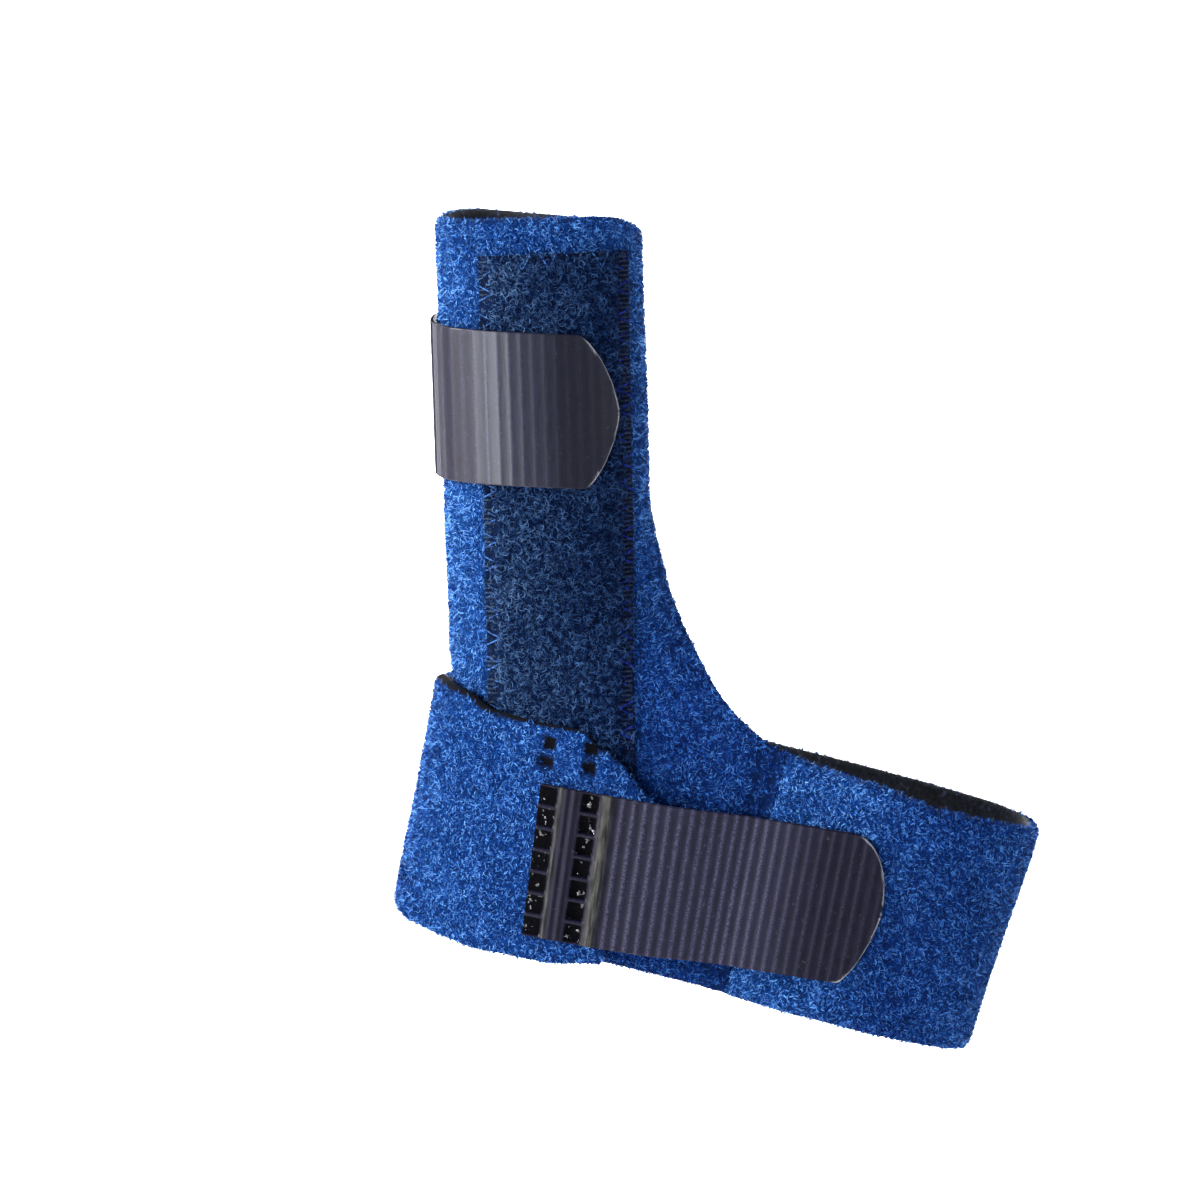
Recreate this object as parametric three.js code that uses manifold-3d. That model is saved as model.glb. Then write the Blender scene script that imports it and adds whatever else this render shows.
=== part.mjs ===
// A finger splint: a padded cloth sleeve for the index finger that runs down into a palm panel,
// a cloth band that goes once round the hand, a sewn strip of loop tape and two ribbed hook straps.
// Millimetres. The origin is the middle of the hand opening, +Z runs along the finger to its tip,
// +X to the little finger's side and +Y to the back of the hand.
import * as THREE from "three";
import { mergeVertices } from "three/addons/utils/BufferGeometryUtils.js";
import Module from "manifold-3d";

// Cloth and tape
const CLOTH = 2.2; // thickness of the padded cloth
const TAPE_WIDTH = 24.5; // nominal 25 mm hook and loop tape
const HOOK_TAPE = 1.0; // thickness of the hook straps between their ribs
const LOOP_TAPE = 1.0; // thickness of the loop strip
const GAP = 0.3; // left between pieces that touch

// The hand opening that the band and the palm panel lie on
const HAND_HALF_WIDTH = 45.8;
const HAND_HALF_DEPTH = 15;
const HAND_SQUARENESS = 3.1; // 2 is an ellipse, more is boxier
const HAND_FLARE = 0.06; // how much wider the hand gets for each mm towards the fingers
const LOOP_TILT = THREE.MathUtils.degToRad(16); // the band runs down towards the little finger

// The finger sleeve
const SLEEVE_TOP = 106;
const SLEEVE_X = -24.85;
const SLEEVE_WIDTH = 32.6;
const SLEEVE_MIDDLE = -4; // its middle plane, in front of the hand's
const SLEEVE_FRONT = 11.5; // from that plane to the front and the back
const SLEEVE_BACK = 11.5;
const SLEEVE_SQUARENESS = 2.3;
const SLEEVE_PINCH = 0.2; // the sleeve is flatter on the side of the middle finger
const MOUTH_ROUND = 2.4; // the mouth's lip is rounded off on that side
const MOUTH_TILT = 2.2; // behind, the lip rises on the thumb's side and falls on the other
const WEB_HEIGHT = 47; // where the wrap opens between the fingers
const WRAP_CUT = 35; // and where it ends on the thumb's side
const FLARE_HEIGHT = 61; // where the sleeve begins to widen into the palm panel
const PALM_HEIGHT = 24; // where the panel lies on the palm
const BAND_TUCK = 1.5; // how far above that the panel's edge goes in under the flap
const PALM_SLANT = 0.25; // on the thumb's side it lies down further up
const BEND = 5; // the bend from the finger to the palm starts this far over the web

// The palm panel and its welded seam with the band
const SEAM_REACH = 6.4; // from the middle of the hand, along the band
const SEAM_LAP = 4;
const PANEL_RISE = 22.4; // the seam's top and bottom, across the band
const PANEL_DROP = 17.7;
const PANEL_LEFT = -38.5;
const DRAW_IN = { below: 2, length: 13 }; // how the sleeve narrows to the panel, around PALM_HEIGHT

// The band
const BAND_WIDTH = 38;

// The palm strap lies on the flap and crosses the seam
const PALM_STRAP = { start: -28.5, rise: -3.5, length: 55.7, turn: THREE.MathUtils.degToRad(4.6) };
// The finger strap starts at the back and goes round the thumb's side to the front
const FINGER_STRAP = { from: 300, to: 52, tipHeight: 74.8, climb: Math.tan(THREE.MathUtils.degToRad(5)) };
const STEP_DOWN = 17; // the palm strap comes down from the flap to the cloth over this length
// A strap's rounded end: its length and squareness along the upper and the lower edge
const PALM_TIP = { upper: 6.8, lower: 4.9, upperSquareness: 2, lowerSquareness: 1.45 };
const FINGER_TIP = { upper: 6.4, lower: 6, upperSquareness: 1.5, lowerSquareness: 1.4 };
const RIB = { pitch: 1.76, height: 0.2, halfWidth: 0.35 };
const WELD = { first: 1.3, second: 7.6, width: 2.3, height: 2.7, depth: 0.6, pitch: 3.5, rows: 7 };
const WELD_RIDGE = 2.7; // from the second file of pits to the first rib

// The loop strip, sewn to the front of the sleeve
const STRIP = { left: -35.1, right: -12, lean: 0.011, top: 100.4, bottom: 9 };

const { cos, sin, abs, sign, min, max, PI, hypot } = Math;
const mix = (a, b, t) => a + (b - a) * t;
const clamp = (t) => min(1, max(0, t));
const smooth = (t) => clamp(t) ** 2 * (3 - 2 * clamp(t));
const halfWidth = SLEEVE_WIDTH / 2;
const sleeveLeft = SLEEVE_X - halfWidth;
const sleeveRight = SLEEVE_X + halfWidth;

// Reads a column of a short table at a place between its rows, with no corners
function readTable(rows, key, column, at) {
  let n = 0;
  while (n < rows.length - 2 && at > rows[n + 1][key]) n++;
  const share = (at - rows[n][key]) / (rows[n + 1][key] - rows[n][key]);
  return mix(rows[n][column], rows[n + 1][column], smooth(share));
}

// Height of a superellipse over its axis, for a place from -1 to 1 along it
function arch(place, squareness) {
  return (1 - min(1, abs(place)) ** squareness) ** (1 / squareness);
}

// The hand: along runs with the band, across runs over its width
const across = (x, z) => x * sin(LOOP_TILT) + z * cos(LOOP_TILT);
const along = (x, z) => x * cos(LOOP_TILT) - z * sin(LOOP_TILT);
function onHand(alongBand, y, acrossBand) {
  return new THREE.Vector3(
    alongBand * cos(LOOP_TILT) + acrossBand * sin(LOOP_TILT), y,
    acrossBand * cos(LOOP_TILT) - alongBand * sin(LOOP_TILT),
  );
}

// The hand's outline as even steps: turn 0 is the middle of the palm, 0.25 the little finger's
// side, 0.5 the back and 0.75 the thumb's side
const outlineSteps = 720;
function makeOutline(halfLength, halfDepth) {
  const points = [];
  for (let n = 0; n <= outlineSteps; n++) {
    const a = (2 * PI * n) / outlineSteps;
    const power = 2 / HAND_SQUARENESS;
    points.push([
      halfLength * sign(sin(a)) * abs(sin(a)) ** power,
      -halfDepth * sign(cos(a)) * abs(cos(a)) ** power,
    ]);
  }
  const lengths = [0];
  for (let n = 1; n <= outlineSteps; n++) {
    const step = hypot(points[n][0] - points[n - 1][0], points[n][1] - points[n - 1][1]);
    lengths.push(lengths[n - 1] + step);
  }
  return { points, lengths, total: lengths[outlineSteps] };
}
const handOutline = makeOutline(1, HAND_HALF_DEPTH / HAND_HALF_WIDTH);
const handGirth = handOutline.total * HAND_HALF_WIDTH;

function outlineAt(turn) {
  const wanted = (turn - Math.floor(turn)) * handOutline.total;
  let low = 0;
  let high = outlineSteps;
  while (high - low > 1) {
    const middle = (low + high) >> 1;
    if (handOutline.lengths[middle] > wanted) high = middle;
    else low = middle;
  }
  const share = (wanted - handOutline.lengths[low]) / (handOutline.lengths[high] - handOutline.lengths[low]);
  return [0, 1].map((k) => mix(handOutline.points[low][k], handOutline.points[high][k], share));
}

// A point of the hand's surface, lifted off it
function handPoint(turn, acrossBand, lift) {
  const surface = (t, c) => {
    const [u, v] = outlineAt(t);
    const scale = HAND_HALF_WIDTH + HAND_FLARE * c;
    return onHand(u * scale, v * HAND_HALF_WIDTH, c);
  };
  const step = 0.002;
  const aside = surface(turn + step, acrossBand).sub(surface(turn - step, acrossBand));
  const up = surface(turn, acrossBand + 1).sub(surface(turn, acrossBand - 1));
  return surface(turn, acrossBand).addScaledVector(aside.cross(up).normalize(), lift);
}

// Front of the cloth panel on the palm, by place seen from the front
function palmFront(x, z) {
  const reach = HAND_HALF_WIDTH + CLOTH + HAND_FLARE * across(x, z);
  return -(HAND_HALF_DEPTH + CLOTH) * arch(along(x, z) / reach, HAND_SQUARENESS);
}

// The panel's cut edge: from the sleeve's side in one sweep to the top of the seam
const seamEnd = SEAM_REACH - GAP / 2;
const seamTop = onHand(seamEnd, 0, PANEL_RISE);
const SWEEP = { start: 1.6, end: 0.7 };
function cutEdge(z) {
  const fall = clamp((FLARE_HEIGHT - z) / (FLARE_HEIGHT - seamTop.z));
  return mix(sleeveRight, seamTop.x, 1 - (1 - fall ** SWEEP.start) ** SWEEP.end);
}

// The thumb's side of the sleeve draws in where the band holds it
function leftEdge(z) {
  return mix(PANEL_LEFT, sleeveLeft, smooth((z - PALM_HEIGHT + DRAW_IN.below) / DRAW_IN.length));
}

// How much of the panel follows the palm and not the finger
function palmShare(x, z) {
  const height = z - (x - sleeveRight) * (x < sleeveRight ? PALM_SLANT : 0);
  return smooth((WEB_HEIGHT + BEND - height) / (WEB_HEIGHT + BEND - PALM_HEIGHT));
}

function sleeveFront(x, z) {
  const left = leftEdge(z);
  const right = cutEdge(z);
  const place = (x - (left + right) / 2) / ((right - left) / 2);
  const depth = SLEEVE_FRONT * (1 - SLEEVE_PINCH * place) * arch(place, SLEEVE_SQUARENESS);
  return mix(SLEEVE_MIDDLE - depth, palmFront(x, z), palmShare(x, z));
}

// A point off the front of the sleeve and panel, by place seen from the front
function frontPoint(x, z, lift) {
  const step = 0.05;
  const slopeX = (sleeveFront(x + step, z) - sleeveFront(x - step, z)) / (2 * step);
  const slopeZ = (sleeveFront(x, z + step) - sleeveFront(x, z - step)) / (2 * step);
  const normal = new THREE.Vector3(slopeX, -1, slopeZ).normalize();
  return new THREE.Vector3(x, sleeveFront(x, z), z).addScaledVector(normal, lift);
}

// One closed skin of quads: a front and a back sheet of points, joined along every open edge.
// Rows may close on themselves, where their first and last columns are the same points.
function closedSheet(front, back, isCloth = () => true) {
  const rows = front.length - 1;
  const columns = front[0].length - 1;
  const positions = [];
  const quad = (...corners) => {
    for (const n of [0, 1, 2, 0, 2, 3]) positions.push(...corners[n].toArray());
  };
  const closes = (i) => front[i][0].distanceTo(front[i][columns]) < 1e-3;
  const has = (i, j) => {
    if (i < 0 || i >= rows) return false;
    const wrapped = closes(i) && closes(i + 1) ? (j + columns) % columns : j;
    return wrapped >= 0 && wrapped < columns && isCloth(i, wrapped);
  };
  const rim = (i, j, k, l) => quad(front[k][l], front[i][j], back[i][j], back[k][l]);
  for (let i = 0; i < rows; i++) {
    for (let j = 0; j < columns; j++) {
      if (!isCloth(i, j)) continue;
      quad(front[i][j], front[i + 1][j], front[i + 1][j + 1], front[i][j + 1]);
      quad(back[i][j], back[i][j + 1], back[i + 1][j + 1], back[i + 1][j]);
      if (!has(i, j - 1)) rim(i, j, i + 1, j);
      if (!has(i + 1, j)) rim(i + 1, j, i + 1, j + 1);
      if (!has(i, j + 1)) rim(i + 1, j + 1, i, j + 1);
      if (!has(i - 1, j)) rim(i, j + 1, i, j);
    }
  }
  const soup = new THREE.BufferGeometry();
  soup.setAttribute("position", new THREE.Float32BufferAttribute(positions, 3));
  return facingOut(withoutSlivers(mergeVertices(soup, 1e-4)));
}

function withoutSlivers(geometry) {
  const index = [...geometry.index.array];
  const kept = [];
  for (let n = 0; n < index.length; n += 3) {
    const [a, b, c] = index.slice(n, n + 3);
    if (a !== b && b !== c && c !== a) kept.push(a, b, c);
  }
  geometry.setIndex(kept);
  return geometry;
}

function facingOut(geometry) {
  const at = geometry.attributes.position;
  const index = [...geometry.index.array];
  const corner = (n) => new THREE.Vector3().fromBufferAttribute(at, index[n]);
  let volume = 0;
  for (let n = 0; n < index.length; n += 3) {
    volume += corner(n).dot(corner(n + 1).cross(corner(n + 2)));
  }
  if (volume < 0) {
    for (let n = 0; n < index.length; n += 3) [index[n], index[n + 1]] = [index[n + 1], index[n]];
  }
  geometry.setIndex(index);
  return geometry;
}

// Joins and cuts
const wasm = await Module();
wasm.setup();
function toSolid(geometry) {
  const merged = geometry.clone();
  merged.deleteAttribute("normal");
  merged.deleteAttribute("uv");
  const welded = mergeVertices(merged, 1e-4);
  return new wasm.Manifold(new wasm.Mesh({
    numProp: 3,
    vertProperties: new Float32Array(welded.attributes.position.array),
    triVerts: new Uint32Array(welded.index.array),
  }));
}
function toGeometry(solid) {
  const { vertProperties, triVerts } = solid.getMesh();
  const geometry = new THREE.BufferGeometry();
  geometry.setAttribute("position", new THREE.Float32BufferAttribute(vertProperties, 3));
  geometry.setIndex([...triVerts]);
  return geometry;
}
const cutFrom = (geometry, cutters) =>
  toGeometry(cutters.reduce((solid, cutter) => solid.subtract(toSolid(cutter)), toSolid(geometry)));

// A block that follows the hand's surface, to cut a lap or a pit with
function handBlock(from, to, low, high, under, over, steps = 2) {
  const sheet = (lift) => [low, high].map((c) =>
    Array.from({ length: steps + 1 }, (_, n) => handPoint(mix(from, to, n / steps) / handGirth, c, lift)));
  return closedSheet(sheet(over), sheet(under));
}

// The sleeve and palm panel are one cut of cloth. Its rows run from the mouth to the wrist: the
// first two spans are closed tubes, the others lie open on the palm
const wristCorner = onHand(seamEnd, 0, -PANEL_DROP);
const PANEL = [
  { row: 0, right: SLEEVE_TOP, left: SLEEVE_TOP },
  { row: 1, right: FLARE_HEIGHT, left: FLARE_HEIGHT },
  { row: 2, right: WEB_HEIGHT, left: WRAP_CUT },
  { row: 3, right: seamTop.z, left: PALM_HEIGHT + BAND_TUCK },
  { row: 4, right: wristCorner.z, left: wristCorner.z + (wristCorner.x - PANEL_LEFT) * Math.tan(LOOP_TILT) },
];
const SPANS = [3, 7, 11, 7]; // rows of quads in each span
const FRONT_COLUMNS = 24;
const BACK_COLUMNS = 18;

function panelRow(n, share) {
  const read = (side) => mix(PANEL[n][side], PANEL[n + 1][side], share);
  const [rightHeight, leftHeight] = [read("right"), read("left")];
  const right = n === 3 ? mix(seamTop.x, wristCorner.x, share) : cutEdge(rightHeight);
  return { rightHeight, leftHeight, right, left: leftEdge(leftHeight), mouth: n === 0 ? 1 - share : 0 };
}

function panelPoint(row, angle) {
  const power = 2 / SLEEVE_SQUARENESS;
  const c = cos(angle);
  const place = sign(c) * abs(c) ** power;
  const share = (1 - place) / 2;
  const x = mix(row.right, row.left, share);
  const lip = angle < PI ? 0 : MOUTH_TILT * c * abs(sin(angle)) ** power;
  const dip = row.mouth ** 4 * (MOUTH_ROUND * ((1 + c) / 2) ** 14 + lip);
  const z = mix(row.rightHeight, row.leftHeight, share) - dip;
  if (angle <= PI) return new THREE.Vector3(x, sleeveFront(x, z), z);
  const ends = mix(sleeveFront(row.right, row.rightHeight), sleeveFront(row.left, row.leftHeight), share);
  return new THREE.Vector3(x, ends + SLEEVE_BACK * (1 - SLEEVE_PINCH * place) * abs(sin(angle)) ** power, z);
}

function panelCloth() {
  const angles = [];
  for (let j = 0; j < FRONT_COLUMNS; j++) angles.push((PI * j) / FRONT_COLUMNS);
  for (let j = 0; j < BACK_COLUMNS; j++) angles.push(PI + (PI * j) / BACK_COLUMNS);
  const rows = [panelRow(0, 0)];
  SPANS.forEach((steps, n) => {
    for (let i = 1; i <= steps; i++) rows.push(panelRow(n, i / steps));
  });
  const sheet = rows.map((row) => {
    const points = angles.map((angle) => panelPoint(row, angle));
    return [...points, points[0].clone()];
  });
  const tubeRows = SPANS[0] + SPANS[1];
  return closedSheet(sheet, insideOf(sheet, CLOTH, tubeRows), (i, j) => i < tubeRows || j < FRONT_COLUMNS);
}

// The same sheet, moved inwards along its own normals; below the tube only its front counts
function insideOf(sheet, distance, tubeRows) {
  const last = sheet.length - 1;
  return sheet.map((row, i) => {
    const round = row.length - 1;
    const end = i <= tubeRows ? round : FRONT_COLUMNS;
    const inward = row.slice(0, round).map((point, j) => {
      const before = row[end < round ? max(0, j - 1) : (j + round - 1) % round];
      const after = row[end < round ? min(end, j + 1) : j + 1];
      const below = sheet[min(j > FRONT_COLUMNS ? tubeRows : last, i + 1)][j];
      const normal = after.clone().sub(before).cross(sheet[max(0, i - 1)][j].clone().sub(below));
      return point.clone().addScaledVector(normal.normalize(), distance);
    });
    return [...inward, inward[0].clone()];
  });
}

// The band's edges and its lift off the hand, from the seam to the flap's end. Edges are shares of
// its half width, lifts are shares of what it lies on at the flap: the panel and the loop strip
const BAND = [
  { turn: 0.011, top: 1.18, bottom: -0.94, lift: 0 },
  { turn: 0.09, top: 1.1, bottom: -0.98, lift: 0 },
  { turn: 0.155, top: 1.01, bottom: -1, lift: 0 },
  { turn: 0.25, top: 1, bottom: -1, lift: 0.32 },
  { turn: 0.35, top: 1, bottom: -1, lift: 0 },
  { turn: 0.62, top: 1, bottom: -1, lift: 0 },
  { turn: 0.75, top: 0.99, bottom: -0.965, lift: 0.2 },
  { turn: 0.797, top: 0.88, bottom: -1.02, lift: 0.97 },
  { turn: 0.845, top: 0.82, bottom: -1.07, lift: 1 },
  { turn: 0.896, top: 0.83, bottom: -1.03, lift: 1 },
  { turn: 0.942, top: 0.54, bottom: -0.93, lift: 1 },
];
const FLAP_SLANT = 3; // the flap's end leans back towards the wrist
const flapLift = CLOTH + GAP + LOOP_TAPE + GAP;
const seamStart = (SEAM_REACH - SEAM_LAP) / handGirth;
const flapEnd = BAND.at(-1).turn;

function bandEdges(turn) {
  const read = (column) => readTable(BAND, "turn", column, turn);
  const half = BAND_WIDTH / 2;
  return { top: read("top") * half, bottom: read("bottom") * half, lift: read("lift") * flapLift };
}

function bandCloth() {
  const steps = 84;
  const rows = 4;
  const makeSheet = (over) => Array.from({ length: rows + 1 }, (_, i) =>
    Array.from({ length: steps + 1 }, (_, n) => {
      const turn = mix(seamStart, flapEnd, n / steps);
      const { top, bottom, lift } = bandEdges(turn);
      const place = mix(bottom, top, i / rows);
      const slant = (FLAP_SLANT * (top - place)) / BAND_WIDTH / handGirth;
      return handPoint(turn - slant * smooth((n / steps - 0.8) / 0.2), place, lift + over);
    }));
  return closedSheet(makeSheet(CLOTH), makeSheet(0));
}

// The lap of the welded seam: each cloth keeps half its thickness there
function panelWithLap() {
  const under = handBlock(SEAM_REACH - SEAM_LAP - GAP, SEAM_REACH + SEAM_LAP, -BAND_WIDTH, BAND_WIDTH,
    -CLOTH, (CLOTH + GAP) / 2);
  return cutFrom(panelCloth(), [under]);
}

// Where a place on the palm strap lies: along the band, across it, and its lift
function palmStrapPlace(length, side) {
  const a = PALM_STRAP.start + length * cos(PALM_STRAP.turn) - side * sin(PALM_STRAP.turn);
  const c = PALM_STRAP.rise + length * sin(PALM_STRAP.turn) + side * cos(PALM_STRAP.turn);
  const flapReach = (flapEnd - 1) * handGirth;
  const step = smooth((a - flapReach - 0.4) / STEP_DOWN);
  return { a, c, lift: mix(flapLift + CLOTH + GAP, CLOTH + GAP, step) };
}
function palmStrapPoint(length, side, over) {
  const { a, c, lift } = palmStrapPlace(length, side);
  return handPoint(a / handGirth, c, lift + over);
}

// Outline of the sleeve by angle, as even lengths, for the strap that goes round it
function sleevePoint(angle, z, lift) {
  const power = 2 / SLEEVE_SQUARENESS;
  const outline = (a) => {
    const place = sign(cos(a)) * abs(cos(a)) ** power;
    const depth = (sin(a) > 0 ? -SLEEVE_FRONT : SLEEVE_BACK) * abs(sin(a)) ** power;
    const y = SLEEVE_MIDDLE + depth * (1 - SLEEVE_PINCH * place);
    return new THREE.Vector3(SLEEVE_X + halfWidth * place, y, z);
  };
  const step = 0.01;
  const tangent = outline(angle + step).sub(outline(angle - step)).normalize();
  return outline(angle).add(new THREE.Vector3(-tangent.y, tangent.x, 0).multiplyScalar(lift));
}
const wrapSteps = 400;
const wrapAngles = Array.from({ length: wrapSteps + 1 }, (_, n) =>
  THREE.MathUtils.degToRad(mix(FINGER_STRAP.from, FINGER_STRAP.to, n / wrapSteps)));
const wrapLengths = [0];
for (let n = 1; n <= wrapSteps; n++) {
  const step = sleevePoint(wrapAngles[n], 0, 1).distanceTo(sleevePoint(wrapAngles[n - 1], 0, 1));
  wrapLengths.push(wrapLengths[n - 1] + step);
}
const fingerStrapLength = wrapLengths[wrapSteps];

// The strap's lift off the sleeve: on the back, past the thumb's side and over the loop strip
const STRAP_LIFT = [
  { angle: 51, lift: GAP + LOOP_TAPE + GAP },
  { angle: 133, lift: GAP + LOOP_TAPE + GAP },
  { angle: 185, lift: GAP + 0.2 },
  { angle: 250, lift: GAP },
  { angle: 335, lift: GAP },
];
function fingerStrapPoint(length, side, over) {
  let n = 1;
  while (n < wrapSteps && wrapLengths[n] < length) n++;
  const share = (length - wrapLengths[n - 1]) / (wrapLengths[n] - wrapLengths[n - 1]);
  const angle = mix(wrapAngles[n - 1], wrapAngles[n], share);
  const lift = readTable(STRAP_LIFT, "angle", "lift", THREE.MathUtils.radToDeg(angle));
  const z = FINGER_STRAP.tipHeight + (fingerStrapLength - length) * FINGER_STRAP.climb + side;
  return sleevePoint(angle, z, lift + over);
}

// A hook strap: ribbed across, square where it is welded on, rounded at its free end
function hookStrap(pointAt, total, tip, rows) {
  const ribsFrom = WELD.second + WELD.width + WELD_RIDGE;
  const stations = [{ length: 0, over: 0 }];
  for (let at = RIB.pitch; at < ribsFrom - RIB.pitch / 2; at += RIB.pitch) {
    stations.push({ length: at, over: 0 });
  }
  for (let at = ribsFrom; at < total - 1; at += RIB.pitch) {
    stations.push({ length: at - RIB.halfWidth, over: 0 });
    stations.push({ length: at, over: RIB.height });
    stations.push({ length: at + RIB.halfWidth, over: 0 });
  }
  const tipSteps = 7;
  for (let n = 0; n <= tipSteps; n++) {
    const length = total - tip.upper * (1 - sin((PI / 2) * (n / tipSteps)));
    if (!stations.some((s) => abs(s.length - length) < 0.25)) stations.push({ length, over: 0 });
  }
  stations.sort((a, b) => a.length - b.length);
  const narrowed = (length, round, squareness) => arch(max(0, length - total + round) / round, squareness);
  const sideAt = (length, share) => (share * TAPE_WIDTH) / 2 * (share > 0
    ? narrowed(length, tip.upper, tip.upperSquareness)
    : narrowed(length, tip.lower, tip.lowerSquareness));
  const sheet = (over) => Array.from({ length: rows + 1 }, (_, i) => stations.map((s) =>
    pointAt(s.length, sideAt(s.length, mix(-1, 1, i / rows)), over + (over > 0 ? s.over : 0))));
  return closedSheet(sheet(HOOK_TAPE), sheet(0));
}

// Square pits that the weld presses into a strap, in two files of seven
function weldPits(pointAt, firstRow, lastRow, under, over) {
  const pits = [];
  for (const file of [WELD.first, WELD.second]) {
    for (let row = firstRow; row <= lastRow; row++) {
      const side = (row - (WELD.rows - 1) / 2) * WELD.pitch;
      const sheet = (lift) => [-1, 1].map((v) => [-1, 1].map((u) =>
        pointAt(file + (u * WELD.width) / 2, side + (v * WELD.height) / 2, lift)));
      pits.push(closedSheet(sheet(over), sheet(under)));
    }
  }
  return pits;
}

function palmStrap() {
  const strap = hookStrap(palmStrapPoint, PALM_STRAP.length, PALM_TIP, 2);
  return cutFrom(strap, weldPits(palmStrapPoint, 0, WELD.rows - 1, HOOK_TAPE - WELD.depth, HOOK_TAPE + 1));
}

function fingerStrap() {
  const strap = hookStrap(fingerStrapPoint, fingerStrapLength, FINGER_TIP, 1);
  return cutFrom(strap, weldPits(fingerStrapPoint, 0, WELD.rows - 1, HOOK_TAPE - WELD.depth, HOOK_TAPE + 1));
}

// The band, with its tongue under the panel and the weld's pits beside the strap
function bandWithTongue() {
  const over = handBlock(0, SEAM_REACH + GAP / 2, -BAND_WIDTH, BAND_WIDTH, (CLOTH - GAP) / 2, CLOTH * 2);
  const pits = weldPits(palmStrapPoint, WELD.rows, WELD.rows + 1, -GAP - CLOTH / 2, CLOTH);
  return cutFrom(bandCloth(), [over, ...pits]);
}

// The loop strip lies on the front of the sleeve and ends under the flap
function loopStrip() {
  const columns = 14;
  const ends = [STRIP.top, FLARE_HEIGHT, PALM_HEIGHT, STRIP.bottom];
  const heights = [STRIP.top];
  [3, 9, 3].forEach((rows, n) => {
    for (let i = 1; i <= rows; i++) heights.push(mix(ends[n], ends[n + 1], i / rows));
  });
  const sheet = (lift) => heights.map((z) => Array.from({ length: columns + 1 }, (_, j) =>
    frontPoint(mix(STRIP.left, STRIP.right, j / columns) + STRIP.lean * (z - PALM_HEIGHT), z, lift)));
  return closedSheet(sheet(GAP + LOOP_TAPE), sheet(GAP));
}

const blueCloth = new THREE.MeshStandardMaterial({ color: 0x1d4f96, roughness: 0.95, metalness: 0 });
const navyLoop = new THREE.MeshStandardMaterial({ color: 0x16304f, roughness: 0.95, metalness: 0 });
const hookPlastic = new THREE.MeshStandardMaterial({ color: 0x2b2b33, roughness: 0.5, metalness: 0 });

function piece(name, geometry, material) {
  geometry.computeVertexNormals();
  const mesh = new THREE.Mesh(geometry, material);
  mesh.name = name;
  return mesh;
}

const splint = new THREE.Group();
splint.add(
  piece("sleeve_panel", panelWithLap(), blueCloth),
  piece("hand_band", bandWithTongue(), blueCloth),
  piece("loop_strip", loopStrip(), navyLoop),
  piece("finger_strap", fingerStrap(), hookPlastic),
  piece("palm_strap", palmStrap(), hookPlastic),
);

export default splint;
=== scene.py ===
"""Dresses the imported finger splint: padded cloth with a short nap, a sewn loop strip, ribbed hook
straps with their welds, and the stage that it is shown on."""

import math

import bpy
import numpy as np
from mathutils import Matrix, Vector, kdtree, noise


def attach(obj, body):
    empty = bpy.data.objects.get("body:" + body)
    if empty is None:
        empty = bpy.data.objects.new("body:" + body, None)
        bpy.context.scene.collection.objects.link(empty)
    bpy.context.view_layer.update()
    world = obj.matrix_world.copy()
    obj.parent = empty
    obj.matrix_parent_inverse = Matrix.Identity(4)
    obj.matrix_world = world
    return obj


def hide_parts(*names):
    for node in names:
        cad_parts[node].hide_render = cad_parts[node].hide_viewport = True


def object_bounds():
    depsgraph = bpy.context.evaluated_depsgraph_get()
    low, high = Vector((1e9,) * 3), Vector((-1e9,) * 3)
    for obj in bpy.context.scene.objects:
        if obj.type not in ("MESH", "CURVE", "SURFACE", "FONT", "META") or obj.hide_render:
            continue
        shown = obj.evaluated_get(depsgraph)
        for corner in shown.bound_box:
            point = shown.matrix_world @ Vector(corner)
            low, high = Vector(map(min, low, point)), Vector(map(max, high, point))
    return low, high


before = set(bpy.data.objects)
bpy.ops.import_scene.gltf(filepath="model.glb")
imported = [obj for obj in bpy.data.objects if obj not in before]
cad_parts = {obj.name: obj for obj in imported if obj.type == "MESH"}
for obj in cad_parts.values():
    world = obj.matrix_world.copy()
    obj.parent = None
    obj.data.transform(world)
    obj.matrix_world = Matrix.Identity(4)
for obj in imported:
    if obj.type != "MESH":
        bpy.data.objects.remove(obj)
cad_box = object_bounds()

bl_info = {
    "name": "Finger splint dresser",
    "version": (1, 0, 0),
    "blender": (4, 5, 0),
    "location": "3D View > Sidebar > Splint",
    "description": "Builds the cloth, tape, straps and stage of a finger splint around its packed frame",
    "category": "Object",
}

MM = 0.001

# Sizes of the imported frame's pieces, in millimetres
CLOTH = 2.2
TAPE_WIDTH = 24.5
HOOK_TAPE = 1.0
LOOP_TAPE = 1.0
GAP = 0.3
HAND_HALF_WIDTH = 45.8
HAND_HALF_DEPTH = 15
HAND_SQUARENESS = 3.1
HAND_FLARE = 0.06
LOOP_TILT = math.radians(16)
SLEEVE_TOP = 106
SLEEVE_X = -24.85
SLEEVE_WIDTH = 32.6
SLEEVE_MIDDLE = -4
SLEEVE_FRONT = 11.5
SLEEVE_BACK = 11.5
SLEEVE_SQUARENESS = 2.3
SLEEVE_PINCH = 0.2
MOUTH_ROUND = 2.4
MOUTH_TILT = 2.2
WEB_HEIGHT = 47
WRAP_CUT = 35
FLARE_HEIGHT = 61
PALM_HEIGHT = 24
BAND_TUCK = 1.5
SEAM_REACH = 6.4
SEAM_LAP = 4
PANEL_RISE = 22.4
PANEL_DROP = 17.7
PANEL_LEFT = -38.5
PALM_SLANT = 0.25
BEND = 5
DRAW_IN_BELOW, DRAW_IN_LENGTH = 2, 13
BAND_WIDTH = 38
SWEEP_START, SWEEP_END = 1.6, 0.7
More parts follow.
